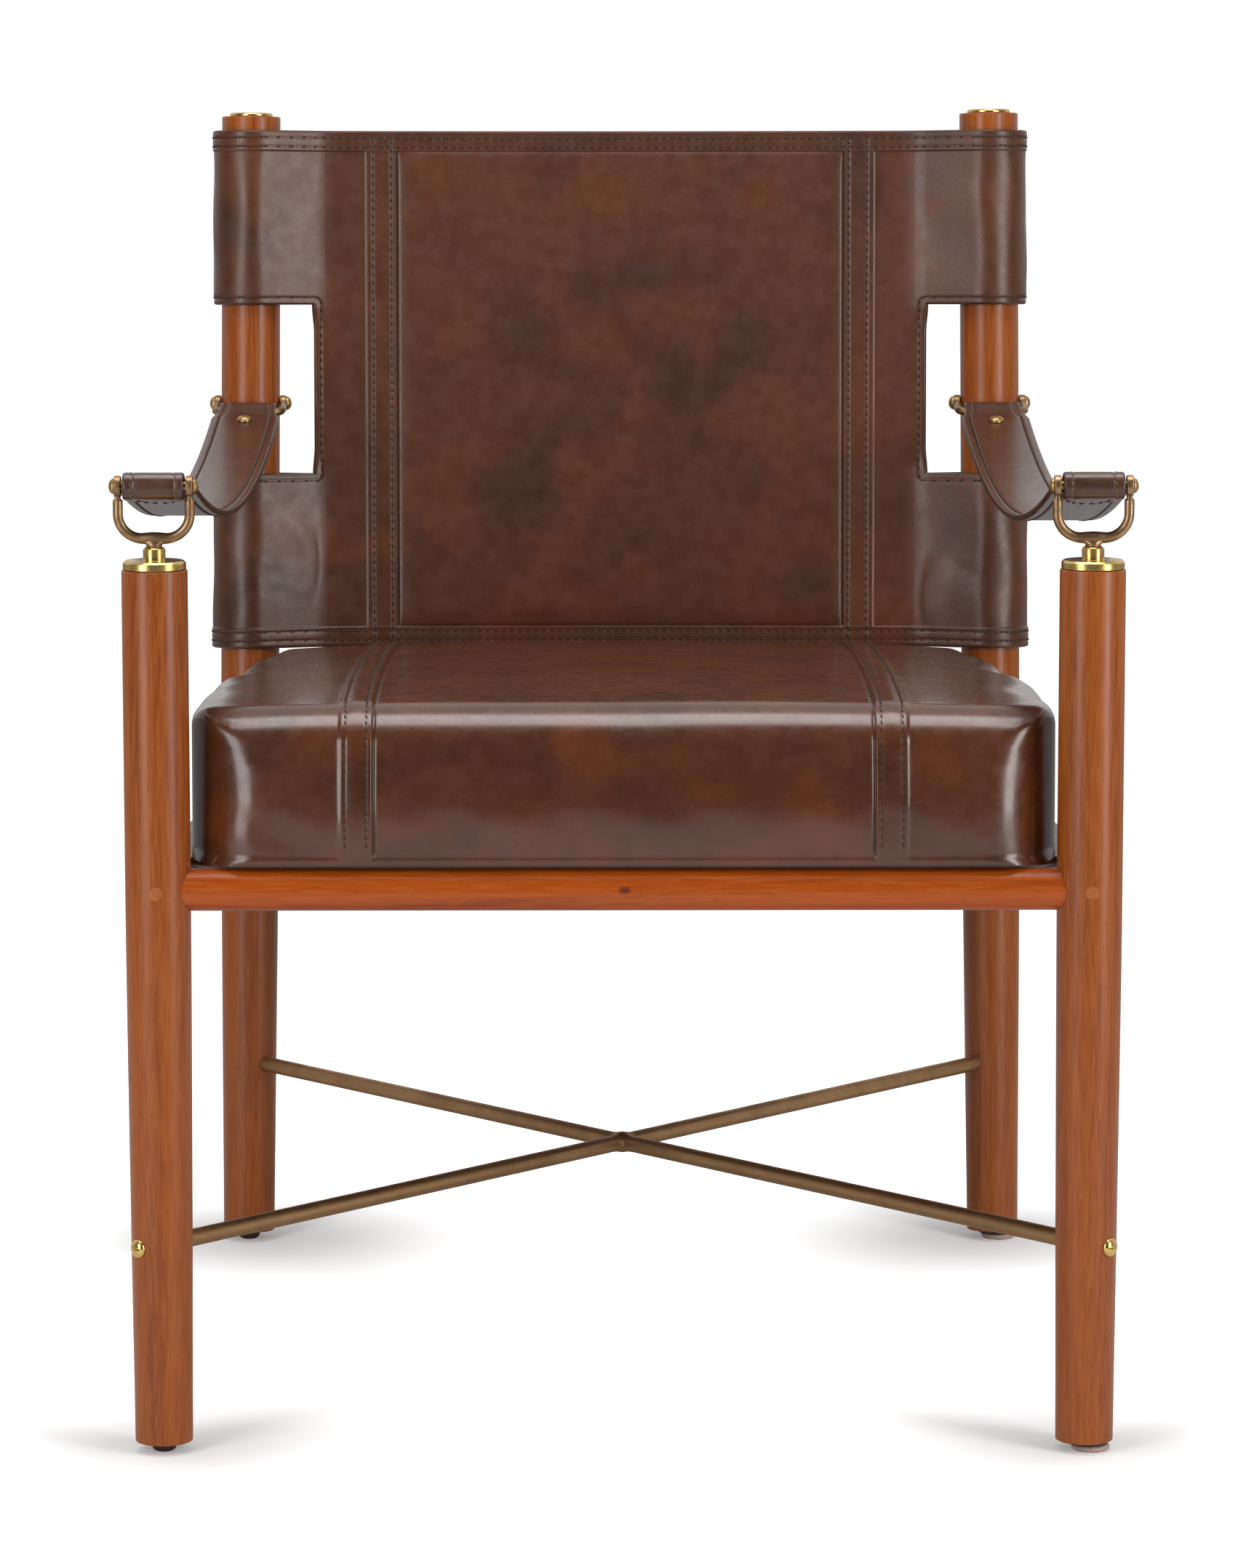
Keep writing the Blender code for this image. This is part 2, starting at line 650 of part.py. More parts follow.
def shackle(name, side, parent):
    """The swivelling U: a stem and shank below, a round bar, and a flat eye on each arm."""
    bar_centre = SHACKLE_BAR_HEIGHT
    neck_foot = SHACKLE_SEAT + GAP
    shank_foot = SHACKLE_SEAT - SHANK_LENGTH + OVERRUN
    profile = [(0, bar_centre), (NECK_FLARE_RADIUS, bar_centre - SHACKLE_BAR_RADIUS / 2),
               (NECK_RADIUS, neck_foot + NECK_HEIGHT / 3), (NECK_RADIUS, neck_foot),
               (SHANK_RADIUS, neck_foot), (SHANK_RADIUS, shank_foot), (0, shank_foot)]
    obj = turned(name, profile, "aged_brass", None, PIN_SIDES)
    obj.parent = parent
    frame = Matrix.Translation(leg_point(side, SHACKLE_PIN_HEIGHT))
    path = u_path(SHACKLE_HALF_WIDTH, SHACKLE_PIN_RISE, SHACKLE_BEND_RADIUS, SHACKLE_SHOULDER)
    join(obj, bar(f"{name}_bar", path, SHACKLE_BAR_RADIUS, frame))
    for hand_name, hand in SIDES.items():
        join(obj, *eye(f"{name}_{hand_name}_eye", frame, hand * SHACKLE_EYE_PLACE, SHACKLE_EYE_RADIUS,
                       SHACKLE_EYE_THICKNESS, SHACKLE_EYE_NECK,
                       SHACKLE_SHOULDER + SHACKLE_BAR_RADIUS))
    pin_line = Vector((SHACKLE_HALF_WIDTH * 2, 0, 0))
    middle = frame.translation
    cut(obj, cylinder(f"{name}_bore", SHACKLE_JOURNAL_RADIUS + GAP, middle - pin_line,
                      middle + pin_line))
    return obj


def headed_pin(name, frame, barrel, barrel_half, journal, head_seat, head_radius, head_height):
    """A pin along local Z: a barrel, a journal at each end and a domed head on each."""
    upper = dome(head_radius, head_height, head_seat)
    lower = [(radius, -height) for radius, height in reversed(upper)]
    middle = [(journal, head_seat), (journal, barrel_half), (barrel, barrel_half),
              (barrel, -barrel_half), (journal, -barrel_half), (journal, -head_seat)]
    return turned(name, upper + middle + lower, "bright_brass", frame, PIN_SIDES)


def facing_x(place):
    """A frame at a place, whose local Z lies along +X."""
    return Matrix.Translation(place) @ Matrix.Rotation(math.pi / 2, 4, "Y")


def pivot(name, place):
    """An empty that carries what turns about a place."""
    empty = bpy.data.objects.new(name, None)
    empty.location = place
    PARTS.objects.link(empty)
    return empty


for side_name, side in SIDES.items():
    post_cap(f"post_cap_{side_name}", side)
    leg_collar(f"leg_collar_{side_name}", side)
    swivel = pivot(f"shackle_swivel_{side_name}", leg_point(side, 0))
    shackle(f"shackle_{side_name}", side, swivel)
    barrel_half = SHACKLE_EYE_PLACE - SHACKLE_EYE_THICKNESS / 2 - GAP
    head_seat = SHACKLE_EYE_PLACE + SHACKLE_EYE_THICKNESS / 2 + GAP
    headed_pin(f"shackle_pin_{side_name}", facing_x(leg_point(side, SHACKLE_PIN_HEIGHT)),
               SHACKLE_PIN_RADIUS, barrel_half, SHACKLE_JOURNAL_RADIUS, head_seat,
               SHACKLE_DOME_RADIUS, SHACKLE_DOME_HEIGHT)


# Rear brackets

BRACKET_EYE_PLACE = POST_RADIUS + GAP + BRACKET_EYE_THICKNESS / 2


def bracket_frame(side):
    """The frame of a bracket: local -Z runs from its pin to its cross bar."""
    place = post_frame(side) @ Vector((0, 0, BRACKET_PIN_HEIGHT))
    return Matrix.Translation(place) @ Matrix.Rotation(BRACKET_DROOP - math.pi / 2, 4, "X")


def rear_bracket(name, side, post):
    """A plain U round the front of the post, hung on a pin through it."""
    frame = bracket_frame(side)
    path = u_path(BRACKET_EYE_PLACE, BRACKET_REACH, BRACKET_BEND_RADIUS, BRACKET_SHOULDER)
    obj = bar(name, path, BRACKET_BAR_RADIUS, frame, "aged_brass")
    for hand_name, hand in SIDES.items():
        join(obj, *eye(f"{name}_{hand_name}_eye", frame, hand * BRACKET_EYE_PLACE, BRACKET_EYE_RADIUS,
                       BRACKET_EYE_THICKNESS, BRACKET_EYE_NECK,
                       BRACKET_SHOULDER + BRACKET_BAR_RADIUS))
    pin_line = Vector((BRACKET_EYE_PLACE * 2, 0, 0))
    middle = frame.translation
    bore = cylinder(f"{name}_bore", BRACKET_PIN_RADIUS + GAP, middle - pin_line, middle + pin_line)
    cut(obj, bore)
    cut(post, bore)
    head_seat = BRACKET_EYE_PLACE + BRACKET_EYE_THICKNESS / 2 + GAP
    headed_pin(name.replace("bracket", "bracket_pin"), facing_x(middle), BRACKET_PIN_RADIUS, head_seat / 2,
               BRACKET_PIN_RADIUS, head_seat, BRACKET_DOME_RADIUS, BRACKET_DOME_HEIGHT)


for side_name, side in SIDES.items():
    rear_bracket(f"rear_bracket_{side_name}", side, POSTS[side_name])


# Strap arms


def strap_curve(front, rear, sag, along):
    """Height of the strap's hanging curve at a depth: a parabola below its chord."""
    share = (along - front.x) / (rear.x - front.x)
    chord = front.y + (rear.y - front.y) * share
    return chord - 4 * sag * share * (1 - share)


def wrap(centre, joint_upper, joint_lower, radius, forward):
    """The turn of a strap round a bar, from the lower ply's end of contact to the upper's.

    Each ply leaves the bar on a tangent towards the point where the plies meet.
    """
    def tangent_angle(point, sign):
        offset = point - centre
        return math.atan2(offset.y, offset.x) + sign * math.acos(radius / offset.length)

    start = tangent_angle(joint_lower, -forward)
    end = tangent_angle(joint_upper, forward)
    while (end - start) * forward > 0:
        end -= forward * 2 * math.pi
    return [Vector(p) for p in arc(centre, radius, start, end, STRAP_WRAP_STEPS)]


def strap_plies(centre_front, centre_rear, sag):
    """The strap's path in depth and height, tab tip to tab tip, with a width at each point."""
    ply = (STRAP_THICKNESS + STRAP_PLY_GAP) / 2
    front_radius = SHACKLE_PIN_RADIUS + GAP + STRAP_THICKNESS / 2
    rear_radius = BRACKET_BAR_RADIUS + GAP + STRAP_THICKNESS / 2
    front_join = centre_front.x + STRAP_JOIN
    rear_join = centre_rear.x - STRAP_JOIN

    def ply_point(along, lift):
        return Vector((along, strap_curve(centre_front, centre_rear, sag, along) + lift))

    def tab(tip, joint, width):
        """The lower ply from a tapered tip to where it meets the bar."""
        length = abs(joint - tip)
        shares = (0, STRAP_TIP_TAPER / length, (1 + STRAP_TIP_TAPER / length) / 2, 1)
        widths = (STRAP_TIP_WIDTH, width, width, width)
        return [(ply_point(tip + (joint - tip) * share, -ply), w) for share, w in zip(shares, widths)]

    front_tab = tab(centre_front.x + STRAP_FRONT_TAB, front_join, STRAP_FRONT_WIDTH)
    rear_tab = tab(centre_rear.x - STRAP_REAR_TAB, rear_join, STRAP_REAR_WIDTH)
    front_turn = wrap(centre_front, ply_point(front_join, ply), ply_point(front_join, -ply),
                      front_radius, 1)
    rear_turn = wrap(centre_rear, ply_point(rear_join, ply), ply_point(rear_join, -ply),
                     rear_radius, -1)
    path = list(front_tab)
    path += [(point, STRAP_FRONT_WIDTH) for point in front_turn]
    for step in range(STRAP_STEPS + 1):
        share = step / STRAP_STEPS
        along = front_join + (rear_join - front_join) * share
        path.append((ply_point(along, ply), strap_width(along, front_join, rear_join)))
    path += [(point, STRAP_REAR_WIDTH) for point in reversed(rear_turn)]
    path += list(reversed(rear_tab))
    return path


def strap_width(along, front_join, rear_join):
    """Width of the upper ply: narrow at each bar, full width one taper length further in."""
    front_share = min(1, (along - front_join) / STRAP_TAPER)
    rear_share = min(1, (rear_join - along) / STRAP_TAPER)
    from_front = STRAP_FRONT_WIDTH + (STRAP_WIDTH - STRAP_FRONT_WIDTH) * front_share
    from_rear = STRAP_REAR_WIDTH + (STRAP_WIDTH - STRAP_REAR_WIDTH) * rear_share
    return min(from_front, from_rear)


def rivet(name, place, axis, plies):
    """A rivet through both plies of a strap, domed on each face."""
    frame = Matrix.Translation(place) @ axis.to_track_quat("Z", "Y").to_matrix().to_4x4()
    return headed_pin(name, frame, RIVET_RADIUS, plies / 2, RIVET_RADIUS, plies + GAP,
                      RIVET_HEAD_RADIUS, RIVET_HEAD_HEIGHT)


def arm_strap(side_name, side):
    """A leather strap: a ribbon with a turn round a bar and a stitched tab at each end."""
    name = f"arm_strap_{side_name}"
    front_bar = leg_point(side, SHACKLE_PIN_HEIGHT)
    rear_bar = bracket_frame(side) @ Vector((0, 0, -BRACKET_REACH))
    front = Vector((front_bar.y, front_bar.z))
    rear = Vector((rear_bar.y, rear_bar.z))

    def across(along):
        share = (along - front.x) / (rear.x - front.x)
        return front_bar.x + (rear_bar.x - front_bar.x) * share

    points = []
    sag = STRAP_SAGS[side]
    for place, width in strap_plies(front, rear, sag):
        for column in range(STRAP_COLUMNS + 1):
            offset = width * (column / STRAP_COLUMNS - 1 / 2)
            points.append((across(place.x) + offset, place.x, place.y))
    row = STRAP_COLUMNS + 1
    faces = [(base, base + 1, base + row + 1, base + row)
             for start in range(0, len(points) - row, row)
             for base in range(start, start + STRAP_COLUMNS)]
    mesh = bpy.data.meshes.new(name)
    mesh.from_pydata(points, [], faces)
    smooth(mesh)
    obj = add_object(name, mesh, "saddle_leather")
    thick = obj.modifiers.new("leather", "SOLIDIFY")
    thick.thickness = STRAP_THICKNESS
    thick.offset = 0
    thick.use_even_offset = True
    ends = {"front": front.x + RIVET_INSETS["front"], "rear": rear.x - RIVET_INSETS["rear"]}
    for end_name, along in ends.items():
        rise = (strap_curve(front, rear, sag, along + OVERRUN)
                - strap_curve(front, rear, sag, along - OVERRUN))
        slope = rise / (2 * OVERRUN)
        axis = Vector((0, -slope, 1)).normalized()
        place = Vector((across(along), along, strap_curve(front, rear, sag, along)))
        plies = STRAP_THICKNESS + STRAP_PLY_GAP / 2
        rivet(f"{end_name}_rivet_{side_name}", place, axis, plies)
        cut(obj, cylinder(f"{name}_{end_name}_hole", RIVET_RADIUS + GAP,
                          place - axis * plies * 2, place + axis * plies * 2))


for side_name, side in SIDES.items():
    arm_strap(side_name, side)


# Cross stretcher


def crossing_point():
    """Where the lines between opposite legs cross, at the stretcher's height."""
    front = leg_point(-1, STRETCHER_HEIGHT)
    rear = post_point(1, STRETCHER_HEIGHT)
    share = front.x / (front.x - rear.x)
    return front + (rear - front) * share


CROSSING = crossing_point()


def mitre(name, ways, turn):
    """The wedge of floor plan that belongs to one of the four rods, held a gap off the rest."""
    reach = POST_FOOT_DEPTH
    bisectors = [(ways[turn] + ways[turn + step]).normalized() for step in (-1, 1 - len(ways))]
    apex = CROSSING.xy + ways[turn].xy * GAP
    outline = [apex] + [apex + bisector.xy * reach for bisector in bisectors]
    low, high = -STRETCHER_RADIUS * 2, STRETCHER_RADIUS * 2
    return slab(f"{name}_mitre", outline, low, high, Matrix.Translation((0, 0, STRETCHER_HEIGHT)))


def stretcher_rod(name, ways, turn, axis_point, leg, leg_radius):
    """One arm of the stretcher: mitred at the crossing, socketed in the leg and screwed.

    The screw enters the far side of the leg and threads into the end of the rod.
    """
    way = ways[turn]
    seat = axis_point - way * (leg_radius - STRETCHER_SEAT)
    obj = cylinder(name, STRETCHER_RADIUS, CROSSING - way * STRETCHER_RADIUS, seat, "aged_brass",
                   PIN_SIDES)
    keep(obj, mitre(name, ways, turn))
    cut(leg, cylinder(f"{name}_socket", STRETCHER_RADIUS + GAP,
                      axis_point - way * leg_radius * 2, seat + way * GAP))
    head = axis_point + way * (leg_radius - SCREW_SPOT_DEPTH)
    grip = seat - way * SCREW_GRIP
    hole = cylinder(f"{name}_screw_hole", SCREW_RADIUS + GAP, grip - way * GAP, head + way * OVERRUN)
    cut(obj, hole)
    cut(leg, hole, cylinder(f"{name}_spot_face", SCREW_HEAD_RADIUS + GAP, head,
                            head + way * leg_radius))
    return head, grip


def stretcher_screw(name, head, grip):
    """A slotted screw with a domed head, along local Z."""
    outward = (head - grip).normalized()
    shank = (head - grip).length
    profile = dome(SCREW_HEAD_RADIUS, SCREW_HEAD_HEIGHT, GAP)
    profile += [(SCREW_RADIUS, GAP), (SCREW_RADIUS, -shank), (0, -shank)]
    frame = aim(head, head + outward)
    obj = turned(name, profile, "bright_brass", frame, PIN_SIDES)
    top = SCREW_HEAD_HEIGHT + GAP
    half = SCREW_SLOT_WIDTH / 2
    wide = SCREW_HEAD_RADIUS * 2
    cut(obj, block(f"{name}_slot", (-wide, -half, top - SCREW_SLOT_DEPTH), (wide, half, top * 2),
                   frame))


CORNERS = []
for corner_name, corner_point, corner_legs, full, foot in (
        ("front", leg_point, LEGS, LEG_RADIUS, LEG_FOOT_RADIUS),
        ("rear", post_point, POSTS, POST_RADIUS, POST_FOOT_RADIUS)):
    order = SIDES if corner_name == "front" else dict(reversed(SIDES.items()))
    for side_name, side in order.items():
        CORNERS.append((f"{corner_name}_{side_name}", corner_point(side, STRETCHER_HEIGHT),
                        corner_legs[side_name], tapered_radius(STRETCHER_HEIGHT, full, foot)))
WAYS = [(corner[1] - CROSSING).normalized() for corner in CORNERS]
for turn, (corner_name, axis_point, leg, leg_radius) in enumerate(CORNERS):
    head, grip = stretcher_rod(f"stretcher_rod_{corner_name}", WAYS, turn, axis_point, leg, leg_radius)
    stretcher_screw(f"stretcher_screw_{corner_name}", head, grip)


# Slung back


def belly(x):
    """How far the back leather hangs behind the plane of the posts."""
    return SLING_BELLY * (1 - (x / NOTCH_HALF_WIDTH) ** 2)


def panel_section(height, proud):
    """Outline of the back between its notched edges at one height, a set amount thicker."""
    half = SLING_HALF_THICKNESS + proud
    xs = [NOTCH_HALF_WIDTH * (2 * i / PANEL_STEPS - 1) for i in range(PANEL_STEPS + 1)]
    front = [(x, belly(x) - half, height) for x in xs]
    rear = [(x, belly(x) + half, height) for x in reversed(xs)]
    edge = NOTCH_HALF_WIDTH + half / 2
    return front + [(edge, 0, height)] + rear + [(-edge, 0, height)]


def wing_section(side, height, proud):
    """Outline of a sleeve round a post at one height: a round that flares into the back."""
    axis = side * (POST_HALF_SPACING - height * math.sin(POST_LEAN))
    radius = BACK_WRAP_RADIUS + proud
    apex = radius / math.sin(SLING_FLARE)
    turn = math.pi / 2 - SLING_FLARE
    root = (apex - WING_ROOT) * math.tan(SLING_FLARE)
    outline = arc((0, 0), radius, turn, 2 * math.pi - turn, SLEEVE_STEPS)
    outline = [(WING_ROOT, root)] + outline + [(WING_ROOT, -root)]
    return [(axis - side * x, y, height) for x, y in outline]


def sleeve_void(side, name, low, high):
    """The space a post passes through, a running gap wider than the post."""
    radius = POST_RADIUS + GAP
    apex = radius / math.sin(SLING_FLARE)
    turn = math.pi / 2 - SLING_FLARE
    outline = arc((0, 0), radius, turn, 2 * math.pi - turn, LEG_SIDES) + [(apex, 0)]
    outline = [(-side * x, y) for x, y in outline]
    return slab(name, outline, low - OVERRUN, high + OVERRUN, post_frame(side))


def hemmed_levels(low, high, hem_low, hem_high):
    """Heights and extra thickness up a sewn edge-to-edge piece, hemmed where asked."""
    ease = SLING_EDGE_EASE
    top_proud = SLING_HEM_PROUD if hem_high else 0
    low_proud = SLING_HEM_PROUD if hem_low else 0
    levels = [(low, low_proud - ease), (low + ease, low_proud)]
    if hem_low:
        levels += [(low + SLING_HEM, low_proud), (low + SLING_HEM + ease, 0)]
    if hem_high:
        levels += [(high - SLING_HEM - ease, 0), (high - SLING_HEM, top_proud)]
    return levels + [(high - ease, top_proud), (high, top_proud - ease)]


def back_sling():
    """The H-shaped back: a panel with a sleeve round each post above and below a notch."""
    levels = hemmed_levels(SLING_BOTTOM, SLING_TOP, True, True)
    sling = loft("back_sling", [panel_section(*level) for level in levels], "saddle_leather", BACK)
    wings = (("lower", SLING_BOTTOM - WING_LIFT, NOTCH_BOTTOM, True, False),
             ("upper", NOTCH_TOP, SLING_TOP + WING_LIFT, False, True))
    for side_name, side in SIDES.items():
        for wing_name, low, high, hem_low, hem_high in wings:
            tag = f"sleeve_{wing_name}_{side_name}"
            sections = [wing_section(side, *level)
                        for level in hemmed_levels(low, high, hem_low, hem_high)]
            join(sling, loft(tag, sections, matrix=BACK))
    for side_name, side in SIDES.items():
        for wing_name, low, high, _, _ in wings:
            cut(sling, sleeve_void(side, f"sleeve_void_{wing_name}_{side_name}", low, high))


def centre_panel():
    """The front skin of the back, a sheet sewn between the hems and the side bands."""
    low, high = SLING_BOTTOM + SLING_HEM, SLING_TOP - SLING_HEM
    stand_off = SLING_HALF_THICKNESS + GAP + CENTRE_PANEL_THICKNESS / 2
    rows = [low + SLING_EDGE_EASE + GAP, high - SLING_EDGE_EASE - GAP]
    points = []
    for height in rows:
        for i in range(PANEL_STEPS + 1):
            x = CENTRE_PANEL_HALF_WIDTH * (2 * i / PANEL_STEPS - 1)
            points.append((x, belly(x) - stand_off - GAP, height))
    row = PANEL_STEPS + 1
    faces = [(i, i + 1, row + i + 1, row + i) for i in range(PANEL_STEPS)]
    mesh = bpy.data.meshes.new("back_centre_panel")
    mesh.from_pydata(points, [], faces)
    smooth(mesh)
    obj = add_object("back_centre_panel", mesh, "saddle_leather", BACK)
    thick = obj.modifiers.new("leather", "SOLIDIFY")
    thick.thickness = CENTRE_PANEL_THICKNESS
    thick.offset = 0


back_sling()
centre_panel()


# Seat deck and cushion

SEAT_DROP = RAIL_HEIGHT - REAR_RAIL_HEIGHT
SEAT_RUN = post_point(1, REAR_RAIL_HEIGHT).y - LEG_LINE
SEAT_PITCH = math.atan2(SEAT_DROP, SEAT_RUN)
SLEEVE_RADIUS = RAIL_RADIUS + GAP + DECK_THICKNESS
SEAT = Matrix.Translation(leg_point(0, RAIL_HEIGHT)) @ Matrix.Rotation(-SEAT_PITCH, 4, "X")


def seat_sling():
    """The deck under the cushion: a leather sheet sleeved round both side rails."""
    first = LEG_RADIUS + DECK_SETBACK
    last = SEAT_RUN - POST_RADIUS - DECK_SETBACK
    top = SLEEVE_RADIUS - DECK_PLATE_SINK

    def half_width(along):
        rear = post_point(1, REAR_RAIL_HEIGHT).x
        return LEG_HALF_SPACING + (rear - LEG_HALF_SPACING) * along / SEAT_RUN

    outline = [(-half_width(first), first), (half_width(first), first),
               (half_width(last), last), (-half_width(last), last)]
    deck = slab("seat_sling", outline, top - DECK_THICKNESS, top, SEAT, "saddle_leather")
    for side_name, side in SIDES.items():
        start = leg_point(side, RAIL_HEIGHT)
        way = (post_point(side, REAR_RAIL_HEIGHT) - start).normalized()
        join(deck, cylinder(f"deck_sleeve_{side_name}", SLEEVE_RADIUS, start + way * (first - GAP),
                            start + way * (last + GAP), sides=RAIL_SIDES))
    for side_name, side in SIDES.items():
        start, end = leg_point(side, RAIL_HEIGHT), post_point(side, REAR_RAIL_HEIGHT)
        cut(deck, cylinder(f"deck_void_{side_name}", RAIL_RADIUS + GAP, start, end, sides=RAIL_SIDES))


def grid_lines(half, edge, shares):
    """Cutting places across a block: shares of its flat part, and its rounded edges."""
    places = [(half - edge) * share for share in shares]
    places += [half - edge * share for share in EDGE_SHARES]
    return {line for place in places for line in (place, -place)}


def edge_drop(radius, inset):
    """How far a rounded edge has fallen at a distance in from the rim."""
    if inset >= radius:
        return 0
    return radius - math.sqrt(radius ** 2 - (radius - inset) ** 2)


def cushion_form(point, half_width, half_length):
    """Where a point of the squared block lies on the cushion.

    The sides swell between corners that are drawn in, the top is crowned, the ends
    are broadly rounded and the sides tightly, and a sewn channel runs front to back
    on each side. half_width is that of the block and of the cushion's front.
    """
    rear = (point.y / half_length + 1) / 2
    upper = point.z / CUSHION_HEIGHT
    across = abs(point.x) / half_width
    depth = abs(point.y) / half_length
    rear_half = post_point(1, RAIL_HEIGHT).x - POST_RADIUS - CUSHION_REAR_SIDE_GAP
    half = half_width + (rear_half - half_width) * rear
    swell = 1 - depth ** SWELL_EXPONENT
    half += CUSHION_SWELL * (swell - SWELL_SKEW * point.y / half_length * (1 - depth ** 2))
    x, y = across * half, abs(point.y)
    channel_offset = abs(point.x) - CHANNEL_FRONT
    in_channel = abs(channel_offset) < CHANNEL_HALF_WIDTH + MERGE
    if in_channel:
        x = CHANNEL_FRONT + CHANNEL_SPREAD * rear + channel_offset
    side_inset, end_inset = max(0, half - x), max(0, half_length - y)
    top_drop = max(edge_drop(CUSHION_SIDE_RADIUS, side_inset),
                   edge_drop(CUSHION_END_RADIUS, end_inset))
    base_lift = max(edge_drop(CUSHION_BASE_RADIUS, side_inset),
                    edge_drop(CUSHION_BASE_RADIUS, end_inset))
    crown = CUSHION_CROWN * (1 - across ** CROWN_EXPONENT) * (1 - depth ** CROWN_EXPONENT)
    top = CUSHION_HEIGHT + crown - top_drop
    z = base_lift + (top - base_lift) * upper
    corner = CUSHION_CORNER_RADIUS
    overhang = Vector((max(0, x - half + corner), max(0, y - half_length + corner)))
    if overhang.length > corner:
        tucked = overhang.normalized() * corner - overhang
        x, y = x + tucked.x, y + tucked.y
    ends = max(0, 1 - end_inset / CUSHION_END_RADIUS)
    upright = 4 * upper * (1 - upper)
    y += CUSHION_BULGE * upright * ends * (1 - across ** 4)
    if in_channel and abs(channel_offset) < MERGE and upper > 0:
        y -= CHANNEL_DEPTH * ends
        z -= CHANNEL_DEPTH * (1 - ends) * upper
    return Vector((math.copysign(x, point.x), math.copysign(y, point.y), z))


def seat_cushion():
    """The loose seat cushion, cut from a squared block by its grid and then shaped."""
    front = -CUSHION_FRONT_REACH
    sling_front = post_point(1, RAIL_HEIGHT + CUSHION_HEIGHT).y - LEG_LINE - SLING_HALF_THICKNESS
    rear = sling_front - CUSHION_REAR_GAP
    half_length = (rear - front) / 2
    half_width = LEG_HALF_SPACING - LEG_RADIUS - CUSHION_LEG_GAP
    build = bmesh.new()
    bmesh.ops.create_cube(build, size=2)
    bmesh.ops.scale(build, vec=(half_width, half_length, CUSHION_HEIGHT / 2), verts=build.verts)
    bmesh.ops.translate(build, vec=(0, 0, CUSHION_HEIGHT / 2), verts=build.verts)
    across = grid_lines(half_width, CUSHION_SIDE_RADIUS, CUSHION_WIDTH_SHARES)
    for place in (-CHANNEL_HALF_WIDTH, 0, CHANNEL_HALF_WIDTH):
        across |= {CHANNEL_FRONT + place, -CHANNEL_FRONT - place}
    along = grid_lines(half_length, CUSHION_END_RADIUS, CUSHION_LENGTH_SHARES)
    planes = [((place, 0, 0), (1, 0, 0)) for place in sorted(across)]
    planes += [((0, place, 0), (0, 1, 0)) for place in sorted(along)]
    planes += [((0, 0, CUSHION_HEIGHT * share), (0, 0, 1)) for share in CUSHION_HEIGHT_SHARES]
    for place, normal in planes:
        geometry = build.verts[:] + build.edges[:] + build.faces[:]
        bmesh.ops.bisect_plane(build, geom=geometry, plane_co=place, plane_no=normal, dist=MERGE)
    for vert in build.verts:
        vert.co = cushion_form(vert.co, half_width, half_length)
    flat = [face for face in build.faces if all(abs(vert.co.z) < MERGE for vert in face.verts)]
    bmesh.ops.dissolve_faces(build, faces=flat, use_verts=True)
    mesh = bpy.data.meshes.new("seat_cushion")
    build.to_mesh(mesh)
    build.free()
    smooth(mesh)
    place = Matrix.Translation((0, (front + rear) / 2, SLEEVE_RADIUS + GAP))
    add_object("seat_cushion", mesh, "saddle_leather", SEAT @ place)


seat_sling()
seat_cushion()
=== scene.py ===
"""A leather sling lounge chair: turned wood, saddle leather and brass over its CAD frame."""
import json
import math

import bmesh
import bpy
import numpy as np
from mathutils import Matrix, Vector


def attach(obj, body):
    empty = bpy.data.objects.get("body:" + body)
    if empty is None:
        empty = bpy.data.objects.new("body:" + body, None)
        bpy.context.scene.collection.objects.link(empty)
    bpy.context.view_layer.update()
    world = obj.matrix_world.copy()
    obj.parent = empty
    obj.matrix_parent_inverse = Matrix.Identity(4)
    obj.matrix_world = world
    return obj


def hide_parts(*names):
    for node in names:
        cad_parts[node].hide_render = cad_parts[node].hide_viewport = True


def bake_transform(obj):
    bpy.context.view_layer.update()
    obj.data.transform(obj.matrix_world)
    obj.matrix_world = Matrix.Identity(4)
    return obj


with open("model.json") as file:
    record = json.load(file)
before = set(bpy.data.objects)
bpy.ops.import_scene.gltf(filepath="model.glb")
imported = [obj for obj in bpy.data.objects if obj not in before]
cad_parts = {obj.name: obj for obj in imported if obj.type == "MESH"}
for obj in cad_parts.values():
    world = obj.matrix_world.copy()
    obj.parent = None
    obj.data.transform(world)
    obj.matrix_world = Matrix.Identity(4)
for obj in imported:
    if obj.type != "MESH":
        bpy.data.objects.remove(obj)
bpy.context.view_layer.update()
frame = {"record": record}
SIDES = {"left": -1, "right": 1}

# Sizes shared with the part, in metres

LEG_LINE = -0.3392327
LEG_SPACING = 0.2894
RAIL_HEIGHT = 0.3568
REAR_RAIL_HEIGHT = 0.3262
RAIL_RADIUS = 0.0133
POST_SPACING = 0.2746
POST_RADIUS = 0.0212
POST_DEPTH = 0.6305
POST_RAKE = math.radians(2.89)
POST_LEAN = math.radians(0.453)

BACK_TOP = 0.8132
BACK_BOTTOM = 0.4375
NOTCH_TOP = 0.6872
NOTCH_BOTTOM = 0.5645
NOTCH_EDGE = 0.2230
BACK_HALF_THICKNESS = 0.0040
BACK_BELLY = 0.0120
SLEEVE_RADIUS = 0.0272
SLEEVE_FLARE = math.radians(27)
PANEL_EDGE = 0.1627

CUSHION_HEIGHT = 0.0900
CUSHION_BASE = 0.0174

STRAP_THICKNESS = 0.0040
STRAP_SAG = {-1: 0.0420, 1: 0.0460}


# Meshes from arrays


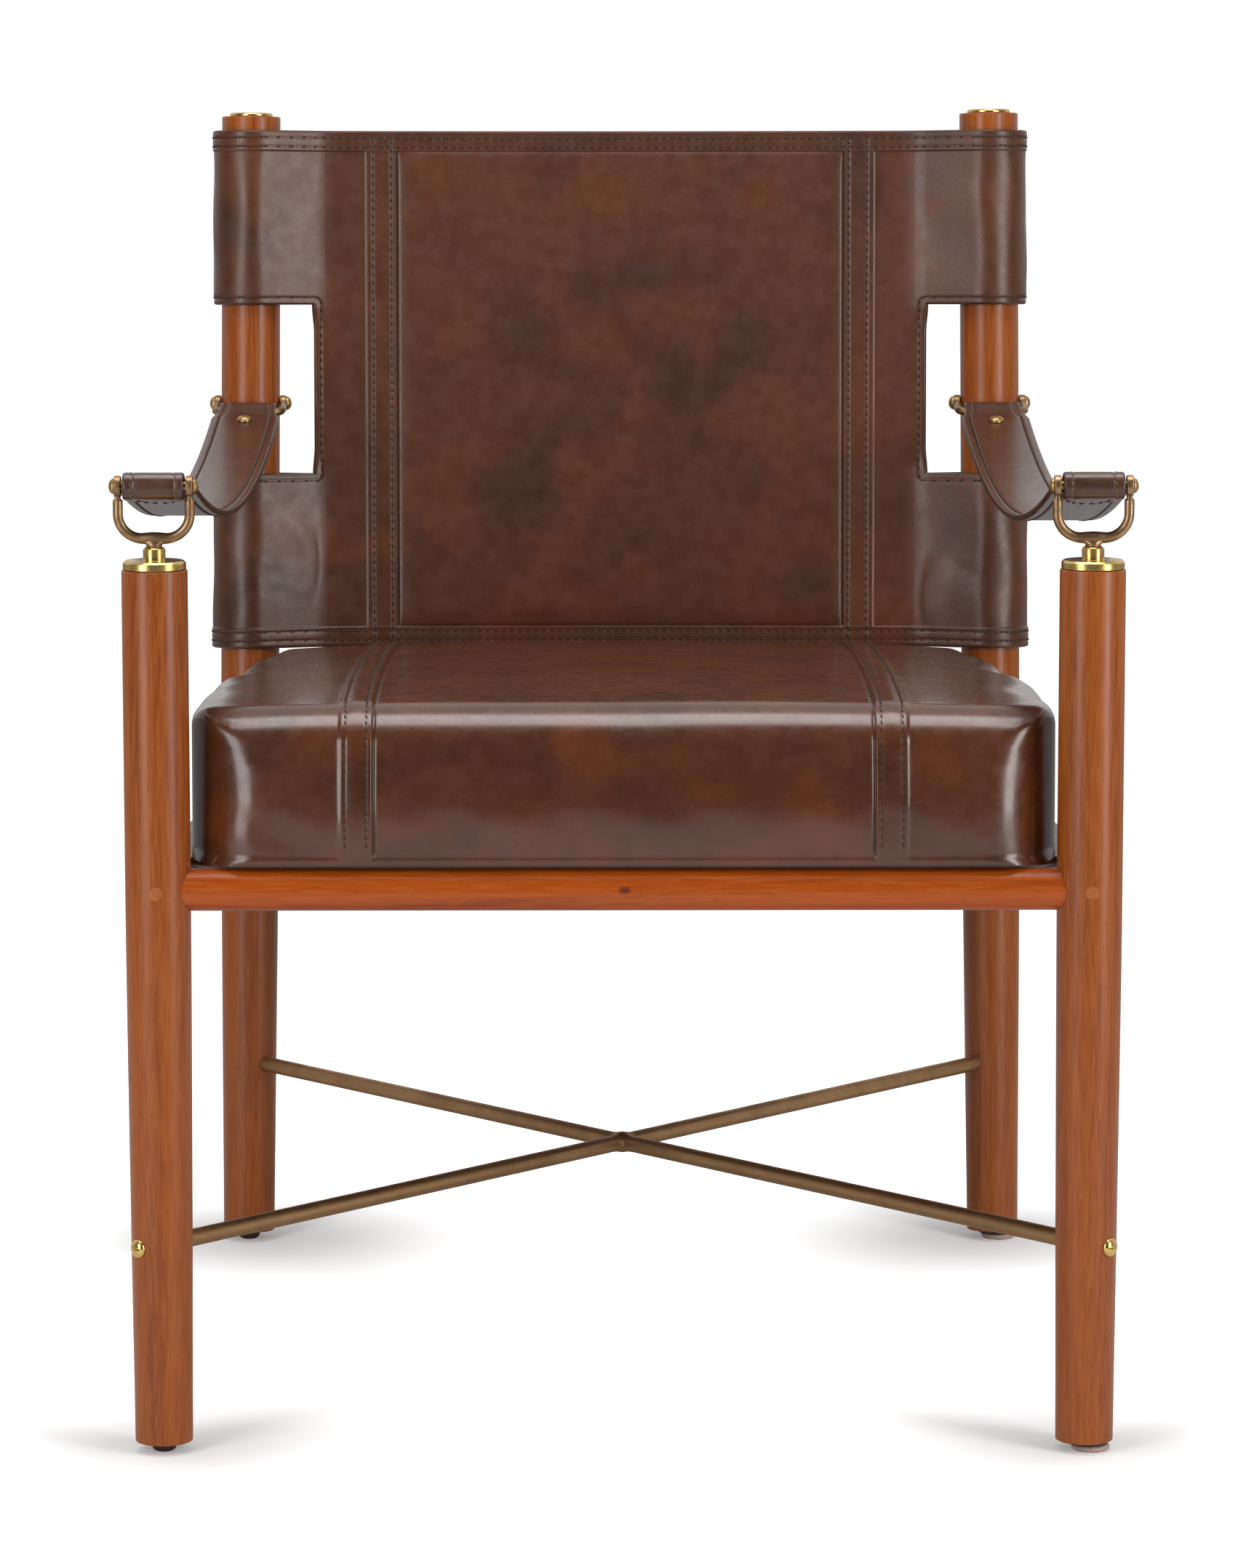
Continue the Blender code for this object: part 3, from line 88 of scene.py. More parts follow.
def piece(name, points, faces, finish, marks=None):
    """A finished piece from an array of points and a list of face arrays.

    marks holds named values, one for each point, that the finish reads as attributes.
    """
    mesh = bpy.data.meshes.new(name)
    lists = []
    for block in faces:
        lists += np.asarray(block).tolist()
    mesh.from_pydata(np.asarray(points).tolist(), [], lists)
    for mark, values in (marks or {}).items():
        layer = mesh.attributes.new(mark, "FLOAT", "POINT")
        layer.data.foreach_set("value", np.asarray(values, dtype=np.float32).ravel())
    mesh.polygons.foreach_set("use_smooth", np.ones(len(mesh.polygons), bool))
    mesh.materials.append(finish)
    mesh.update()
    obj = bpy.data.objects.new(name, mesh)
    bpy.context.scene.collection.objects.link(obj)
    return obj


def turn_out(obj, join=None):
    """Points every face outwards, once points nearer than join, where it is given, are one."""
    build = bmesh.new()
    build.from_mesh(obj.data)
    if join:
        bmesh.ops.remove_doubles(build, verts=build.verts, dist=join)
        loose = [v for v in build.verts if not v.link_faces]
        bmesh.ops.delete(build, geom=loose, context="VERTS")
    bmesh.ops.recalc_face_normals(build, faces=build.faces)
    build.to_mesh(obj.data)
    build.free()
    obj.data.update()
    return obj


def weld(obj, distance=1e-6):
    """Joins doubled points, drops loose ones and points every face outwards."""
    return turn_out(obj, distance)


def quads(ids, closed=False):
    """Four-cornered faces between neighbouring entries of a table of point numbers."""
    if closed:
        ids = np.concatenate([ids, ids[:, :1]], axis=1)
    corners = [ids[:-1, :-1], ids[:-1, 1:], ids[1:, 1:], ids[1:, :-1]]
    return np.stack(corners, axis=-1).reshape(-1, 4)


def numbered(table):
    """The point numbers of a table of points, in the order in which it is flattened."""
    return np.arange(table.shape[0] * table.shape[1]).reshape(table.shape[:2])


def unit(v):
    """Vectors scaled to a length of 1."""
    return v / np.maximum(np.linalg.norm(v, axis=-1, keepdims=True), 1e-12)


def between(at, run, values):
    """Rows of values read between the places of a run, at other places."""
    return np.stack([np.interp(at, run, column) for column in values.T], axis=-1)


def ramp(x, low, high):
    """A smooth step from 0 at low to 1 at high: three x squared less two x cubed."""
    t = np.clip((x - low) / (high - low), 0, 1)
    return t * t * (3 - 2 * t)


def valley(x, width):
    """A bell that is 1 at zero and fades over a width: e to the minus (x over width) squared."""
    return np.exp(-((x / width) ** 2))


def softer_max(a, b, blend):
    """The larger of two values, rounded over where they are within blend of each other."""
    h = np.clip(0.5 + 0.5 * (a - b) / blend, 0, 1)
    return b + (a - b) * h + blend * h * (1 - h)


def rounded_inset(distance, radius):
    """How far a quarter-round edge falls back at a distance in from the rim."""
    d = np.clip(distance, 0, radius)
    return radius - np.sqrt(np.maximum(radius ** 2 - (radius - d) ** 2, 0))


def ripple(x, y, seed, length):
    """A slow unevenness between -1 and 1: crossed sine waves of random turn and phase."""
    waves = 4
    draw = np.random.default_rng(seed)
    total = np.zeros(np.broadcast(x, y).shape)
    for _ in range(waves):
        turn, phase = draw.uniform(0, math.pi), draw.uniform(0, 2 * math.pi)
        stretch = 2 * math.pi / (length * draw.uniform(0.7, 1.5))
        total += np.sin((x * math.cos(turn) + y * math.sin(turn)) * stretch + phase)
    return total / waves


BESIDE_A_SPOT = (0, 0.0004, 0.0009, 0.0015, 0.0024, 0.0036)
CLOSEST_CUTS = 0.00025


def spaced(cuts, closest):
    """Cutting places in order, without those that are too close behind another."""
    cuts = np.unique(np.round(cuts, 6))
    keep = np.concatenate([[True], np.diff(cuts) > closest])
    keep[-1] = True
    return cuts[keep]


def places(low, high, step, spots):
    """Cutting places between two ends: even steps, and closer ones on both sides of each spot."""
    out = list(np.linspace(low, high, max(2, int(round((high - low) / step)) + 1)))
    for spot in spots:
        out += [spot + sign * d for d in BESIDE_A_SPOT for sign in (-1, 1)]
    return spaced(np.clip(out, low, high), CLOSEST_CUTS)


# Stitches

STITCH_RINGS = 5
STITCH_SIDES = 6


def stitches(name, rows, finish, length=0.0042, radius=0.00042, slant=0.0, lift=0.0):
    """Rows of thread: each stitch is a bar that bows out of the leather and dives in at both ends.

    A row is (places, outward directions) of the stitches' middles, in order. Along a stitch t runs
    from -1 to 1: its radius is the root of 1 - t^4, its height falls off as t^4, and its line runs
    along the row, turned by a slant.
    """
    t = np.array([-1, -0.72, 0, 0.72, 1])
    turn = np.arange(STITCH_SIDES) * 2 * math.pi / STITCH_SIDES
    swell = np.sqrt(np.maximum(1 - t ** 4, 0.02))
    rise = radius * (0.35 - 1.5 * t ** 4) + lift
    points, faces, start = [], [], 0
    for spots, outward in rows:
        spots, outward = np.asarray(spots), unit(np.asarray(outward))
        along = unit(np.gradient(spots, axis=0))
        across = unit(np.cross(outward, along))
        line = along * math.cos(slant) + across * math.sin(slant)
        side = unit(np.cross(outward, line))
        ring = (spots[:, None, None, :]
                + line[:, None, None, :] * (t * length / 2)[None, :, None, None]
                + outward[:, None, None, :] * rise[None, :, None, None]
                + (side[:, None, None, :] * np.cos(turn)[None, None, :, None]
                   + outward[:, None, None, :] * np.sin(turn)[None, None, :, None])
                * (radius * swell)[None, :, None, None])
        count = len(spots)
        ids = start + np.arange(count * STITCH_RINGS * STITCH_SIDES).reshape(
            count, STITCH_RINGS, STITCH_SIDES)
        looped = np.concatenate([ids, ids[:, :, :1]], axis=2)
        faces.append(np.stack([looped[:, :-1, :-1], looped[:, :-1, 1:], looped[:, 1:, 1:],
                               looped[:, 1:, :-1]], axis=-1).reshape(-1, 4))
        faces.append(ids[:, 0, ::-1])
        faces.append(ids[:, -1, :])
        points.append(ring.reshape(-1, 3))
        start += count * STITCH_RINGS * STITCH_SIDES
    obj = piece(name, np.concatenate(points), faces, finish)
    return turn_out(obj)


# Finishes


def feed(tree, value, socket):
    """Gives a node's input a value, or links another node's output to it."""
    if isinstance(value, bpy.types.NodeSocket):
        tree.links.new(value, socket)
    else:
        socket.default_value = value


def wire(tree, kind, sockets=None, out=0, **settings):
    """Adds a node, sets it and feeds its inputs. It gives one output, or the node for no output."""
    node = tree.nodes.new(kind)
    for key, value in settings.items():
        setattr(node, key, value)
    for key, value in (sockets or {}).items():
        feed(tree, value, node.inputs[key])
    return node.outputs[out] if out is not None else node


def calc(tree, operation, a, b=0.0, c=0.0):
    """One step of arithmetic on up to three values."""
    return wire(tree, "ShaderNodeMath", {0: a, 1: b, 2: c}, operation=operation)


def fit(tree, value, low, high, to_low=0.0, to_high=1.0):
    """A value carried smoothly from one range to another."""
    return wire(tree, "ShaderNodeMapRange", {"Value": value, "From Min": low, "From Max": high,
                                             "To Min": to_low, "To Max": to_high},
                interpolation_type="SMOOTHSTEP")


def blend_colours(tree, factor, a, b, kind="MIX"):
    """Colour b laid on colour a by a factor, in the way of blending that is named."""
    return wire(tree, "ShaderNodeMix", {0: factor, 6: a, 7: b}, out=2, data_type="RGBA",
                blend_type=kind)


def noise(tree, vector, scale, detail=3.0, roughness=0.5, twist=0.0):
    """Fractal noise, as one value."""
    return wire(tree, "ShaderNodeTexNoise", {"Vector": vector, "Scale": scale, "Detail": detail,
                                             "Roughness": roughness, "Distortion": twist})


def mapped(tree, vector, place=(0, 0, 0), turn=(0, 0, 0), size=(1, 1, 1)):
    """A vector scaled, turned and then moved."""
    return wire(tree, "ShaderNodeMapping", {"Vector": vector, "Location": place, "Rotation": turn,
                                            "Scale": size})


def effect(name, takes, gives):
    """A new node group that takes a vector and named values and gives named values.

    It is given as its tree, what it takes and what it gives.
    """
    group = bpy.data.node_groups.new(name, "ShaderNodeTree")
    group.interface.new_socket("Vector", in_out="INPUT", socket_type="NodeSocketVector")
    for label, value in takes.items():
        socket = group.interface.new_socket(label, in_out="INPUT", socket_type="NodeSocketFloat")
        socket.default_value = value
    for label in gives:
        group.interface.new_socket(label, in_out="OUTPUT", socket_type="NodeSocketFloat")
    given, result = group.nodes.new("NodeGroupInput"), group.nodes.new("NodeGroupOutput")
    return group, given.outputs, result.inputs


def placed(tree, group, **sockets):
    """A node group in a material, with its own values. Underscores in names stand for spaces."""
    node = tree.nodes.new("ShaderNodeGroup")
    node.node_tree = group
    for key, value in sockets.items():
        feed(tree, value, node.inputs[key.replace("_", " ")])
    return node.outputs


def make_hide_grain():
    """The pebbled grain of a hide: fine cells with creases between them, over soft pores."""
    group, given, result = effect("hide grain", {"Pebble Scale": 900.0}, ("Height", "Pores"))
    vector, scale = given["Vector"], given["Pebble Scale"]
    cells = wire(group, "ShaderNodeTexVoronoi", {"Vector": vector, "Scale": scale},
                 feature="SMOOTH_F1")
    fine = noise(group, vector, calc(group, "MULTIPLY", scale, 1.7), 2, 0.6)
    broad = noise(group, vector, calc(group, "MULTIPLY", scale, 0.12), 3, 0.55)
    height = calc(group, "MULTIPLY_ADD", cells, -0.6, calc(group, "MULTIPLY", fine, 0.5))
    feed(group, calc(group, "MULTIPLY_ADD", broad, 0.12, height), result["Height"])
    feed(group, fit(group, fine, 0.36, 0.62), result["Pores"])
    return group


def make_waxed_dye():
    """The cloudy dye of a waxed hide: dark clouds, warm clouds and small flecks, as masks."""
    group, given, result = effect("waxed dye", {"Cloud Scale": 14.0}, ("Dark", "Warm", "Fleck"))
    vector, scale = given["Vector"], given["Cloud Scale"]
    dark = noise(group, vector, scale, 2, 0.45, 0.3)
    moved = mapped(group, vector, place=(3.1, 7.7, 1.9))
    warm = noise(group, moved, calc(group, "MULTIPLY", scale, 1.25), 2, 0.45, 0.2)
    fleck = noise(group, moved, calc(group, "MULTIPLY", scale, 6.0), 3, 0.6)
    feed(group, fit(group, dark, 0.30, 0.64), result["Dark"])
    feed(group, fit(group, warm, 0.44, 0.72), result["Warm"])
    feed(group, fleck, result["Fleck"])
    return group


def make_handling():
    """Thin scratches: the narrow bands where a bent noise crosses its middle value."""
    group, given, result = effect("handling marks", {"Scratch Scale": 30.0, "Amount": 0.5},
                                  ("Scratch",))
    vector, scale = given["Vector"], given["Scratch Scale"]
    bent = noise(group, vector, scale, 1.5, 0.4, 1.2)
    line = calc(group, "ABSOLUTE", calc(group, "SUBTRACT", bent, 0.5))
    line = fit(group, line, 0.0, 0.006, 1.0, 0.0)
    where = noise(group, vector, calc(group, "MULTIPLY", scale, 0.9), 2, 0.5)
    least = calc(group, "SUBTRACT", 0.72, calc(group, "MULTIPLY", given["Amount"], 0.2))
    where = fit(group, where, least, 0.8)
    feed(group, calc(group, "MULTIPLY", line, where), result["Scratch"])
    return group


def make_wood_figure():
    """Straight-grained wood along Z: ribbon figure, fibres and short pores, drawn out along it."""
    group, given, result = effect("wood figure", {}, ("Figure", "Fibre", "Pore"))
    vector = given["Vector"]
    sway = noise(group, mapped(group, vector, size=(3, 3, 2.2)), 1.0, 2)
    aside = wire(group, "ShaderNodeCombineXYZ",
                 {"X": calc(group, "MULTIPLY", sway, 0.02), "Y": 0.0, "Z": 0.0})
    bent = wire(group, "ShaderNodeVectorMath", {0: vector, 1: aside}, operation="ADD")
    figure = noise(group, mapped(group, bent, size=(70, 70, 3.2)), 1.0, 3, 0.55, 0.4)
    fibre = noise(group, mapped(group, bent, size=(520, 520, 34)), 1.0, 3, 0.6)
    pore = noise(group, mapped(group, bent, size=(1300, 1300, 150)), 1.0, 1.5, 0.5)
    feed(group, fit(group, figure, 0.30, 0.66), result["Figure"])
    feed(group, fit(group, fibre, 0.34, 0.70), result["Fibre"])
    feed(group, fit(group, pore, 0.60, 0.72), result["Pore"])
    return group


def make_tarnish():
    """Cloudy tarnish and fine wiping marks on brass."""
    group, given, result = effect("tarnish", {"Spot Scale": 120.0}, ("Cloud", "Wipe"))
    vector, scale = given["Vector"], given["Spot Scale"]
    cloud = noise(group, vector, scale, 4, 0.6, 0.4)
    feed(group, fit(group, cloud, 0.34, 0.68), result["Cloud"])
    wipe = noise(group, vector, calc(group, "MULTIPLY", scale, 9.0), 2, 0.6)
    feed(group, wipe, result["Wipe"])
    return group


HIDE_GRAIN = make_hide_grain()
WAXED_DYE = make_waxed_dye()
HANDLING = make_handling()
WOOD_FIGURE = make_wood_figure()
TARNISH = make_tarnish()


def finish_of(name):
    """A new material: its tree, its shader's inputs and the object coordinates."""
    material = bpy.data.materials.new(name)
    material.use_nodes = True
    tree = material.node_tree
    shader = tree.nodes["Principled BSDF"]
    coords = wire(tree, "ShaderNodeTexCoord", out=3)
    return material, tree, shader.inputs, coords


def bumped(tree, height, strength, distance):
    """A surface direction bent by a height."""
    return wire(tree, "ShaderNodeBump", {"Height": height, "Strength": strength,
                                         "Distance": distance})


def deepened(colour):
    """A colour at about a third of its brightness."""
    return tuple(c * 0.35 for c in colour[:3]) + (1,)


def waxed_leather(name, dark, mid, warm, rough, coat, cloud=14.0, pebble=900.0, grain=0.25,
                  marks=0.4, depth=0.0006):
    """Dyed, waxed leather: cloudy colour, pebbled grain, darker edges with painted shade in grooves
    and stitch rows, scratches and a wax coat.
    """
    material, tree, shader, coords = finish_of(name)
    dye = placed(tree, WAXED_DYE, Vector=coords, Cloud_Scale=cloud)
    grain_out = placed(tree, HIDE_GRAIN, Vector=coords, Pebble_Scale=pebble)
    scratch = placed(tree, HANDLING, Vector=coords, Scratch_Scale=34.0, Amount=marks)["Scratch"]
    colour = blend_colours(tree, dye["Dark"], dark, mid)
    colour = blend_colours(tree, calc(tree, "MULTIPLY", dye["Warm"], 0.75), colour, warm)
    fleck = fit(tree, dye["Fleck"], 0.3, 0.7, 0.95, 1.05)
    shade = calc(tree, "MULTIPLY", fleck, fit(tree, grain_out["Pores"], 0.0, 1.0, 0.90, 1.06))
    grey = wire(tree, "ShaderNodeCombineColor", {0: shade, 1: shade, 2: shade})
    colour = blend_colours(tree, 1.0, colour, grey, "MULTIPLY")
    # Painted shade: a point attribute darkens the leather towards a deep brown at its edges and, as
    # painted shade, in seam grooves and sunk stitch rows.
    dark_edge_and_groove_shade = wire(tree, "ShaderNodeAttribute", out=2, attribute_name="dark_edge_and_groove_shade")
    colour = blend_colours(tree, calc(tree, "MULTIPLY", dark_edge_and_groove_shade, 0.55), colour, deepened(dark))
    colour = blend_colours(tree, calc(tree, "MULTIPLY", scratch, 0.5), colour, SCRATCHED_HIDE)
    feed(tree, colour, shader["Base Color"])
    roughness = fit(tree, dye["Fleck"], 0.3, 0.7, rough - 0.05, rough + 0.05)
    roughness = calc(tree, "MULTIPLY_ADD", scratch, 0.15, roughness)
    feed(tree, roughness, shader["Roughness"])
    shader["Coat Weight"].default_value = coat
    shader["Coat Roughness"].default_value = rough * 0.6
    height = calc(tree, "SUBTRACT", grain_out["Height"], calc(tree, "MULTIPLY", scratch, 0.3))
    feed(tree, bumped(tree, height, grain, depth), shader["Normal"])
    return material


def wood(name, turn, place, dark, mid, light, rough=0.32, coat=0.08, knot=None):
    """Oiled wood with its grain along a turned Z: ribbon figure, fibres, pores and small knocks."""
    material, tree, shader, coords = finish_of(name)
    local = mapped(tree, coords, place, turn)
    figure = placed(tree, WOOD_FIGURE, Vector=local)
    scratch = placed(tree, HANDLING, Vector=coords, Scratch_Scale=26.0, Amount=0.25)["Scratch"]
    colour = blend_colours(tree, figure["Figure"], dark, mid)
    colour = blend_colours(tree, calc(tree, "MULTIPLY", figure["Fibre"], 0.55), colour, light)
    pores = calc(tree, "MULTIPLY", figure["Pore"], 0.30)
    colour = blend_colours(tree, pores, colour, deepened(dark))
    if knot:
        spot = wire(tree, "ShaderNodeVectorMath", {0: coords, 1: knot}, operation="SUBTRACT")
        spot = mapped(tree, spot, size=(1.0, 0.4, 1.5))
        far = wire(tree, "ShaderNodeVectorMath", {0: spot}, out=1, operation="LENGTH")
        far = calc(tree, "MULTIPLY_ADD", noise(tree, coords, 300.0), 0.002, far)
        colour = blend_colours(tree, fit(tree, far, 0.0028, 0.0062, 0.85, 0.0), colour, KNOT_WOOD)
    colour = blend_colours(tree, calc(tree, "MULTIPLY", scratch, 0.5), colour, SCRATCHED_WOOD)
    feed(tree, colour, shader["Base Color"])
    roughness = fit(tree, figure["Fibre"], 0.0, 1.0, rough - 0.04, rough + 0.06)
    feed(tree, roughness, shader["Roughness"])
    shader["Coat Weight"].default_value = coat
    shader["Coat Roughness"].default_value = 0.18
    shader["Specular IOR Level"].default_value = 0.35
    height = calc(tree, "MULTIPLY", figure["Fibre"], 0.3)
    height = calc(tree, "MULTIPLY_ADD", figure["Pore"], -0.7, height)
    feed(tree, bumped(tree, height, 0.18, 0.0003), shader["Normal"])
    return material


def brass(name, clean, tarnished, amount, rough, spot=120.0):
    """Brass between clean and tarnished: clouds of tarnish, duller where it is darker."""
    material, tree, shader, coords = finish_of(name)
    wear = placed(tree, TARNISH, Vector=coords, Spot_Scale=spot)
    mask = calc(tree, "MULTIPLY", wear["Cloud"], amount)
    feed(tree, blend_colours(tree, mask, clean, tarnished), shader["Base Color"])
    shader["Metallic"].default_value = 1.0
    roughness = fit(tree, wear["Wipe"], 0.3, 0.7, rough - 0.03, rough + 0.05)
    roughness = calc(tree, "MULTIPLY_ADD", mask, 0.16, roughness)
    feed(tree, roughness, shader["Roughness"])
    feed(tree, bumped(tree, wear["Wipe"], 0.06, 0.0002), shader["Normal"])
    return material


def plain_with_grain(name, dark, light, scale, rough, bump_size, detail=4.0):
    """Thread, felt or moulded plastic: one noise for colour and a finer one for its surface."""
    material, tree, shader, coords = finish_of(name)
    tone = noise(tree, coords, scale, detail, 0.6)
    feed(tree, blend_colours(tree, fit(tree, tone, 0.3, 0.7), dark, light), shader["Base Color"])
    shader["Roughness"].default_value = rough
    fine = noise(tree, coords, scale * 2.5, 2, 0.6)
    feed(tree, bumped(tree, fine, 0.5, bump_size), shader["Normal"])
    return material


DARK_HIDE = (0.052, 0.0150, 0.0066, 1)
BROWN_HIDE = (0.080, 0.0225, 0.0084, 1)
RUSSET_HIDE = (0.108, 0.0270, 0.0052, 1)
SCRATCHED_HIDE = (0.20, 0.085, 0.045, 1)
SCRATCHED_WOOD = (0.42, 0.22, 0.11, 1)
KNOT_WOOD = (0.09, 0.016, 0.006, 1)
MAHOGANY = ((0.200, 0.042, 0.005, 1), (0.285, 0.066, 0.007, 1), (0.365, 0.105, 0.013, 1))
RED_MAHOGANY = ((0.25, 0.036, 0.002, 1), (0.35, 0.058, 0.002, 1), (0.42, 0.086, 0.006, 1))
PALE_MAHOGANY = ((0.28, 0.072, 0.014, 1), (0.36, 0.105, 0.024, 1), (0.43, 0.14, 0.036, 1))

BACK_LEATHER = waxed_leather("back_leather", DARK_HIDE, BROWN_HIDE, RUSSET_HIDE, 0.38, 0.12,
                             grain=0.16)
CUSHION_LEATHER = waxed_leather("cushion_leather", DARK_HIDE, BROWN_HIDE, RUSSET_HIDE, 0.27, 0.35,
                                cloud=17.0, pebble=1000.0, grain=0.14, marks=0.25, depth=0.00018)
STRAP_LEATHER = waxed_leather("strap_leather", DARK_HIDE, (0.054, 0.0215, 0.0130, 1),
                              (0.072, 0.026, 0.011, 1), 0.36, 0.3, cloud=30.0, grain=0.16)
DARK_THREAD = plain_with_grain("dark_thread", (0.020, 0.009, 0.006, 1), (0.055, 0.025, 0.016, 1),
                               1500.0, 0.75, 0.0002)
TAN_THREAD = plain_with_grain("tan_thread", (0.16, 0.07, 0.028, 1), (0.34, 0.17, 0.08, 1),
                              1500.0, 0.5, 0.0002)
FELT = plain_with_grain("felt", (0.34, 0.25, 0.21, 1), (0.54, 0.42, 0.36, 1), 900.0, 0.95, 0.0006)
GLIDE = plain_with_grain("glide_plastic", (0.020, 0.009, 0.007, 1), (0.050, 0.020, 0.014, 1),
                         400.0, 0.42, 0.0002)
AGED_BRASS = brass("aged_brass", (0.38, 0.236, 0.124, 1), (0.21, 0.124, 0.064, 1), 0.85, 0.34,
                   spot=70.0)
PIN_BRASS = brass("pin_brass", (0.52, 0.33, 0.135, 1), (0.25, 0.150, 0.062, 1), 0.8, 0.34,
                  spot=60.0)
ROD_BRASS = brass("rod_brass", (0.42, 0.250, 0.120, 1), (0.33, 0.190, 0.090, 1), 0.8, 0.42,
                  spot=25.0)
BRIGHT_BRASS = brass("bright_brass", (0.79, 0.54, 0.19, 1), (0.42, 0.27, 0.08, 1), 0.5, 0.20)

UPRIGHT = (0.0, 0.0, 0.0)
CROSSWISE = (0.0, math.pi / 2, 0.0)
LENGTHWISE = (math.pi / 2, 0.0, 0.0)
RAKED = (POST_RAKE, 0.0, 0.0)
LEG_WOOD = {s: wood(f"leg_wood_{n}", UPRIGHT, (0.13 * s + 0.05, 0.2, 0.4 * s), *MAHOGANY)
            for n, s in SIDES.items()}
POST_WOOD = {s: wood(f"post_wood_{n}", RAKED, (0.17 * s + 0.5, 0.1, 0.7 * s), *MAHOGANY)
             for n, s in SIDES.items()}
CROSS_RAIL_WOOD = wood("cross_rail_wood", CROSSWISE, (0.3, 0.1, 0.2), *RED_MAHOGANY,
                       knot=(0.0006, LEG_LINE - RAIL_RADIUS, RAIL_HEIGHT + 0.001))
SIDE_RAIL_WOOD = wood("side_rail_wood", LENGTHWISE, (0.2, 0.6, 0.3), *MAHOGANY)
PEG_WOOD = wood("peg_wood", LENGTHWISE, (0.7, 0.3, 0.9), *PALE_MAHOGANY)


# Turned and swept shapes

BODY_OF = {node: body for body, nodes in frame["record"]["behaviour"]["bodies"].items()
           for node in nodes}


def stands_for(obj, node):
    """Puts a finished piece in a CAD node's place, on the body that carries it."""
    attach(obj, BODY_OF[node])
    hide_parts(node)
    return obj


def placed_points(matrix, points):
    """Points carried by a 4 x 4 matrix."""
    m = np.array(matrix)
    return np.asarray(points) @ m[:3, :3].T + m[:3, 3]


def aim(place, way):
    """A frame at a place: its Z runs along a direction, and its X lies as level as it can."""
    z = unit(np.asarray(way, float))
    level = np.array([-z[1], z[0], 0.0]) if abs(z[2]) < 0.9 else np.array([1.0, 0.0, 0.0])
    x = unit(level - z * (level @ z))
    m = Matrix.Identity(4)
    for row in range(3):
        m[row][0], m[row][1], m[row][2] = x[row], np.cross(z, x)[row], z[row]
        m[row][3] = place[row]
    return m


def eased(profile, radius=0.0003):
    """A profile with rounded corners: each is a short curve with a close point on both sides."""
    profile = np.asarray(profile, float)
    out = [profile[0]]
    for before, corner, after in zip(profile[:-2], profile[1:-1], profile[2:]):
        back, ahead = before - corner, after - corner
        back_long, ahead_long = np.linalg.norm(back), np.linalg.norm(ahead)
        back, ahead = back / back_long, ahead / ahead_long
        if back @ ahead < -0.97:
            out.append(corner)
            continue
        e = min(radius, 0.3 * back_long, 0.3 * ahead_long)
        a, b = corner + back * e, corner + ahead * e
        curve = [a * (1 - t) ** 2 + corner * 2 * t * (1 - t) + b * t ** 2
                 for t in (0, 0.25, 0.5, 0.75, 1)]
        out += [corner + back * e * 1.5] + curve + [corner + ahead * e * 1.5]
    return np.array(out + [profile[-1]])


def turned_shell(profile, matrix, sides=64, ease=0.0003):
    """Points and faces of a profile of (radius, height) pairs turned once round a frame's Z."""
    profile = eased(profile, ease)
    angle = np.arange(sides) * 2 * math.pi / sides
    table = np.stack([profile[:, :1] * np.cos(angle), profile[:, :1] * np.sin(angle),
                      np.repeat(profile[:, 1:], sides, axis=1)], axis=-1)
    return placed_points(matrix, table.reshape(-1, 3)), [quads(numbered(table), True)]


def swept_shell(path, widths, depths, wide_way, sides=36, power=2.0):
    """Points and faces of a closed bar: a rounded section carried along a path.

    The section is a superellipse: |a / width|^power + |b / depth|^power = 1, with its width along
    wide_way as nearly as the path allows, closed by a point at each end.
    """
    path, wide_way = np.asarray(path, float), np.asarray(wide_way, float)
    along = unit(np.gradient(path, axis=0))
    side = unit(wide_way - along * (along @ wide_way)[:, None])
    other = np.cross(along, side)
    angle = np.arange(sides) * 2 * math.pi / sides
    round_a = np.sign(np.cos(angle)) * np.abs(np.cos(angle)) ** (2 / power)
    round_b = np.sign(np.sin(angle)) * np.abs(np.sin(angle)) ** (2 / power)
    widths, depths = np.broadcast_to(widths, len(path)), np.broadcast_to(depths, len(path))
    table = (path[:, None] + side[:, None] * (widths[:, None] * round_a)[..., None]
             + other[:, None] * (depths[:, None] * round_b)[..., None])
    first = np.repeat(path[:1][None], sides, axis=1)
    last = np.repeat(path[-1:][None], sides, axis=1)
    table = np.concatenate([first, table, last])
    return table.reshape(-1, 3), [quads(numbered(table), True)]


def shells(name, parts, finish, marks=None):
    """One piece made of several closed shells."""
    points, faces, start = [], [], 0
    for part_points, part_faces in parts:
        points.append(part_points)
        faces += [block + start for block in part_faces]
        start += len(part_points)
    return weld(piece(name, np.concatenate(points), faces, finish, marks))


def turned_piece(name, profile, matrix, finish, sides=64, ease=0.0003):
    """One piece turned round a frame's Z."""
    return shells(name, [turned_shell(profile, matrix, sides, ease)], finish)


# Legs, posts, rails and pegs

LEG_HEIGHT, LEG_RADIUS, LEG_FOOT = 0.5563, 0.0204, 0.0180
POST_HEIGHT = {-1: 0.8234, 1: 0.8257}
POST_FOOT = 0.0185
TAPER_TOP = RAIL_HEIGHT - RAIL_RADIUS
FOOT_LIFT = 0.0065
PEG_RADIUS = 0.0042
BACK = Matrix.Translation((0, LEG_LINE + POST_DEPTH, 0)) @ Matrix.Rotation(-POST_RAKE, 4, "X")


def leg_point(side, height):
    """The point of a front leg's axis at a height above the floor."""
    return np.array([side * LEG_SPACING, LEG_LINE, height])


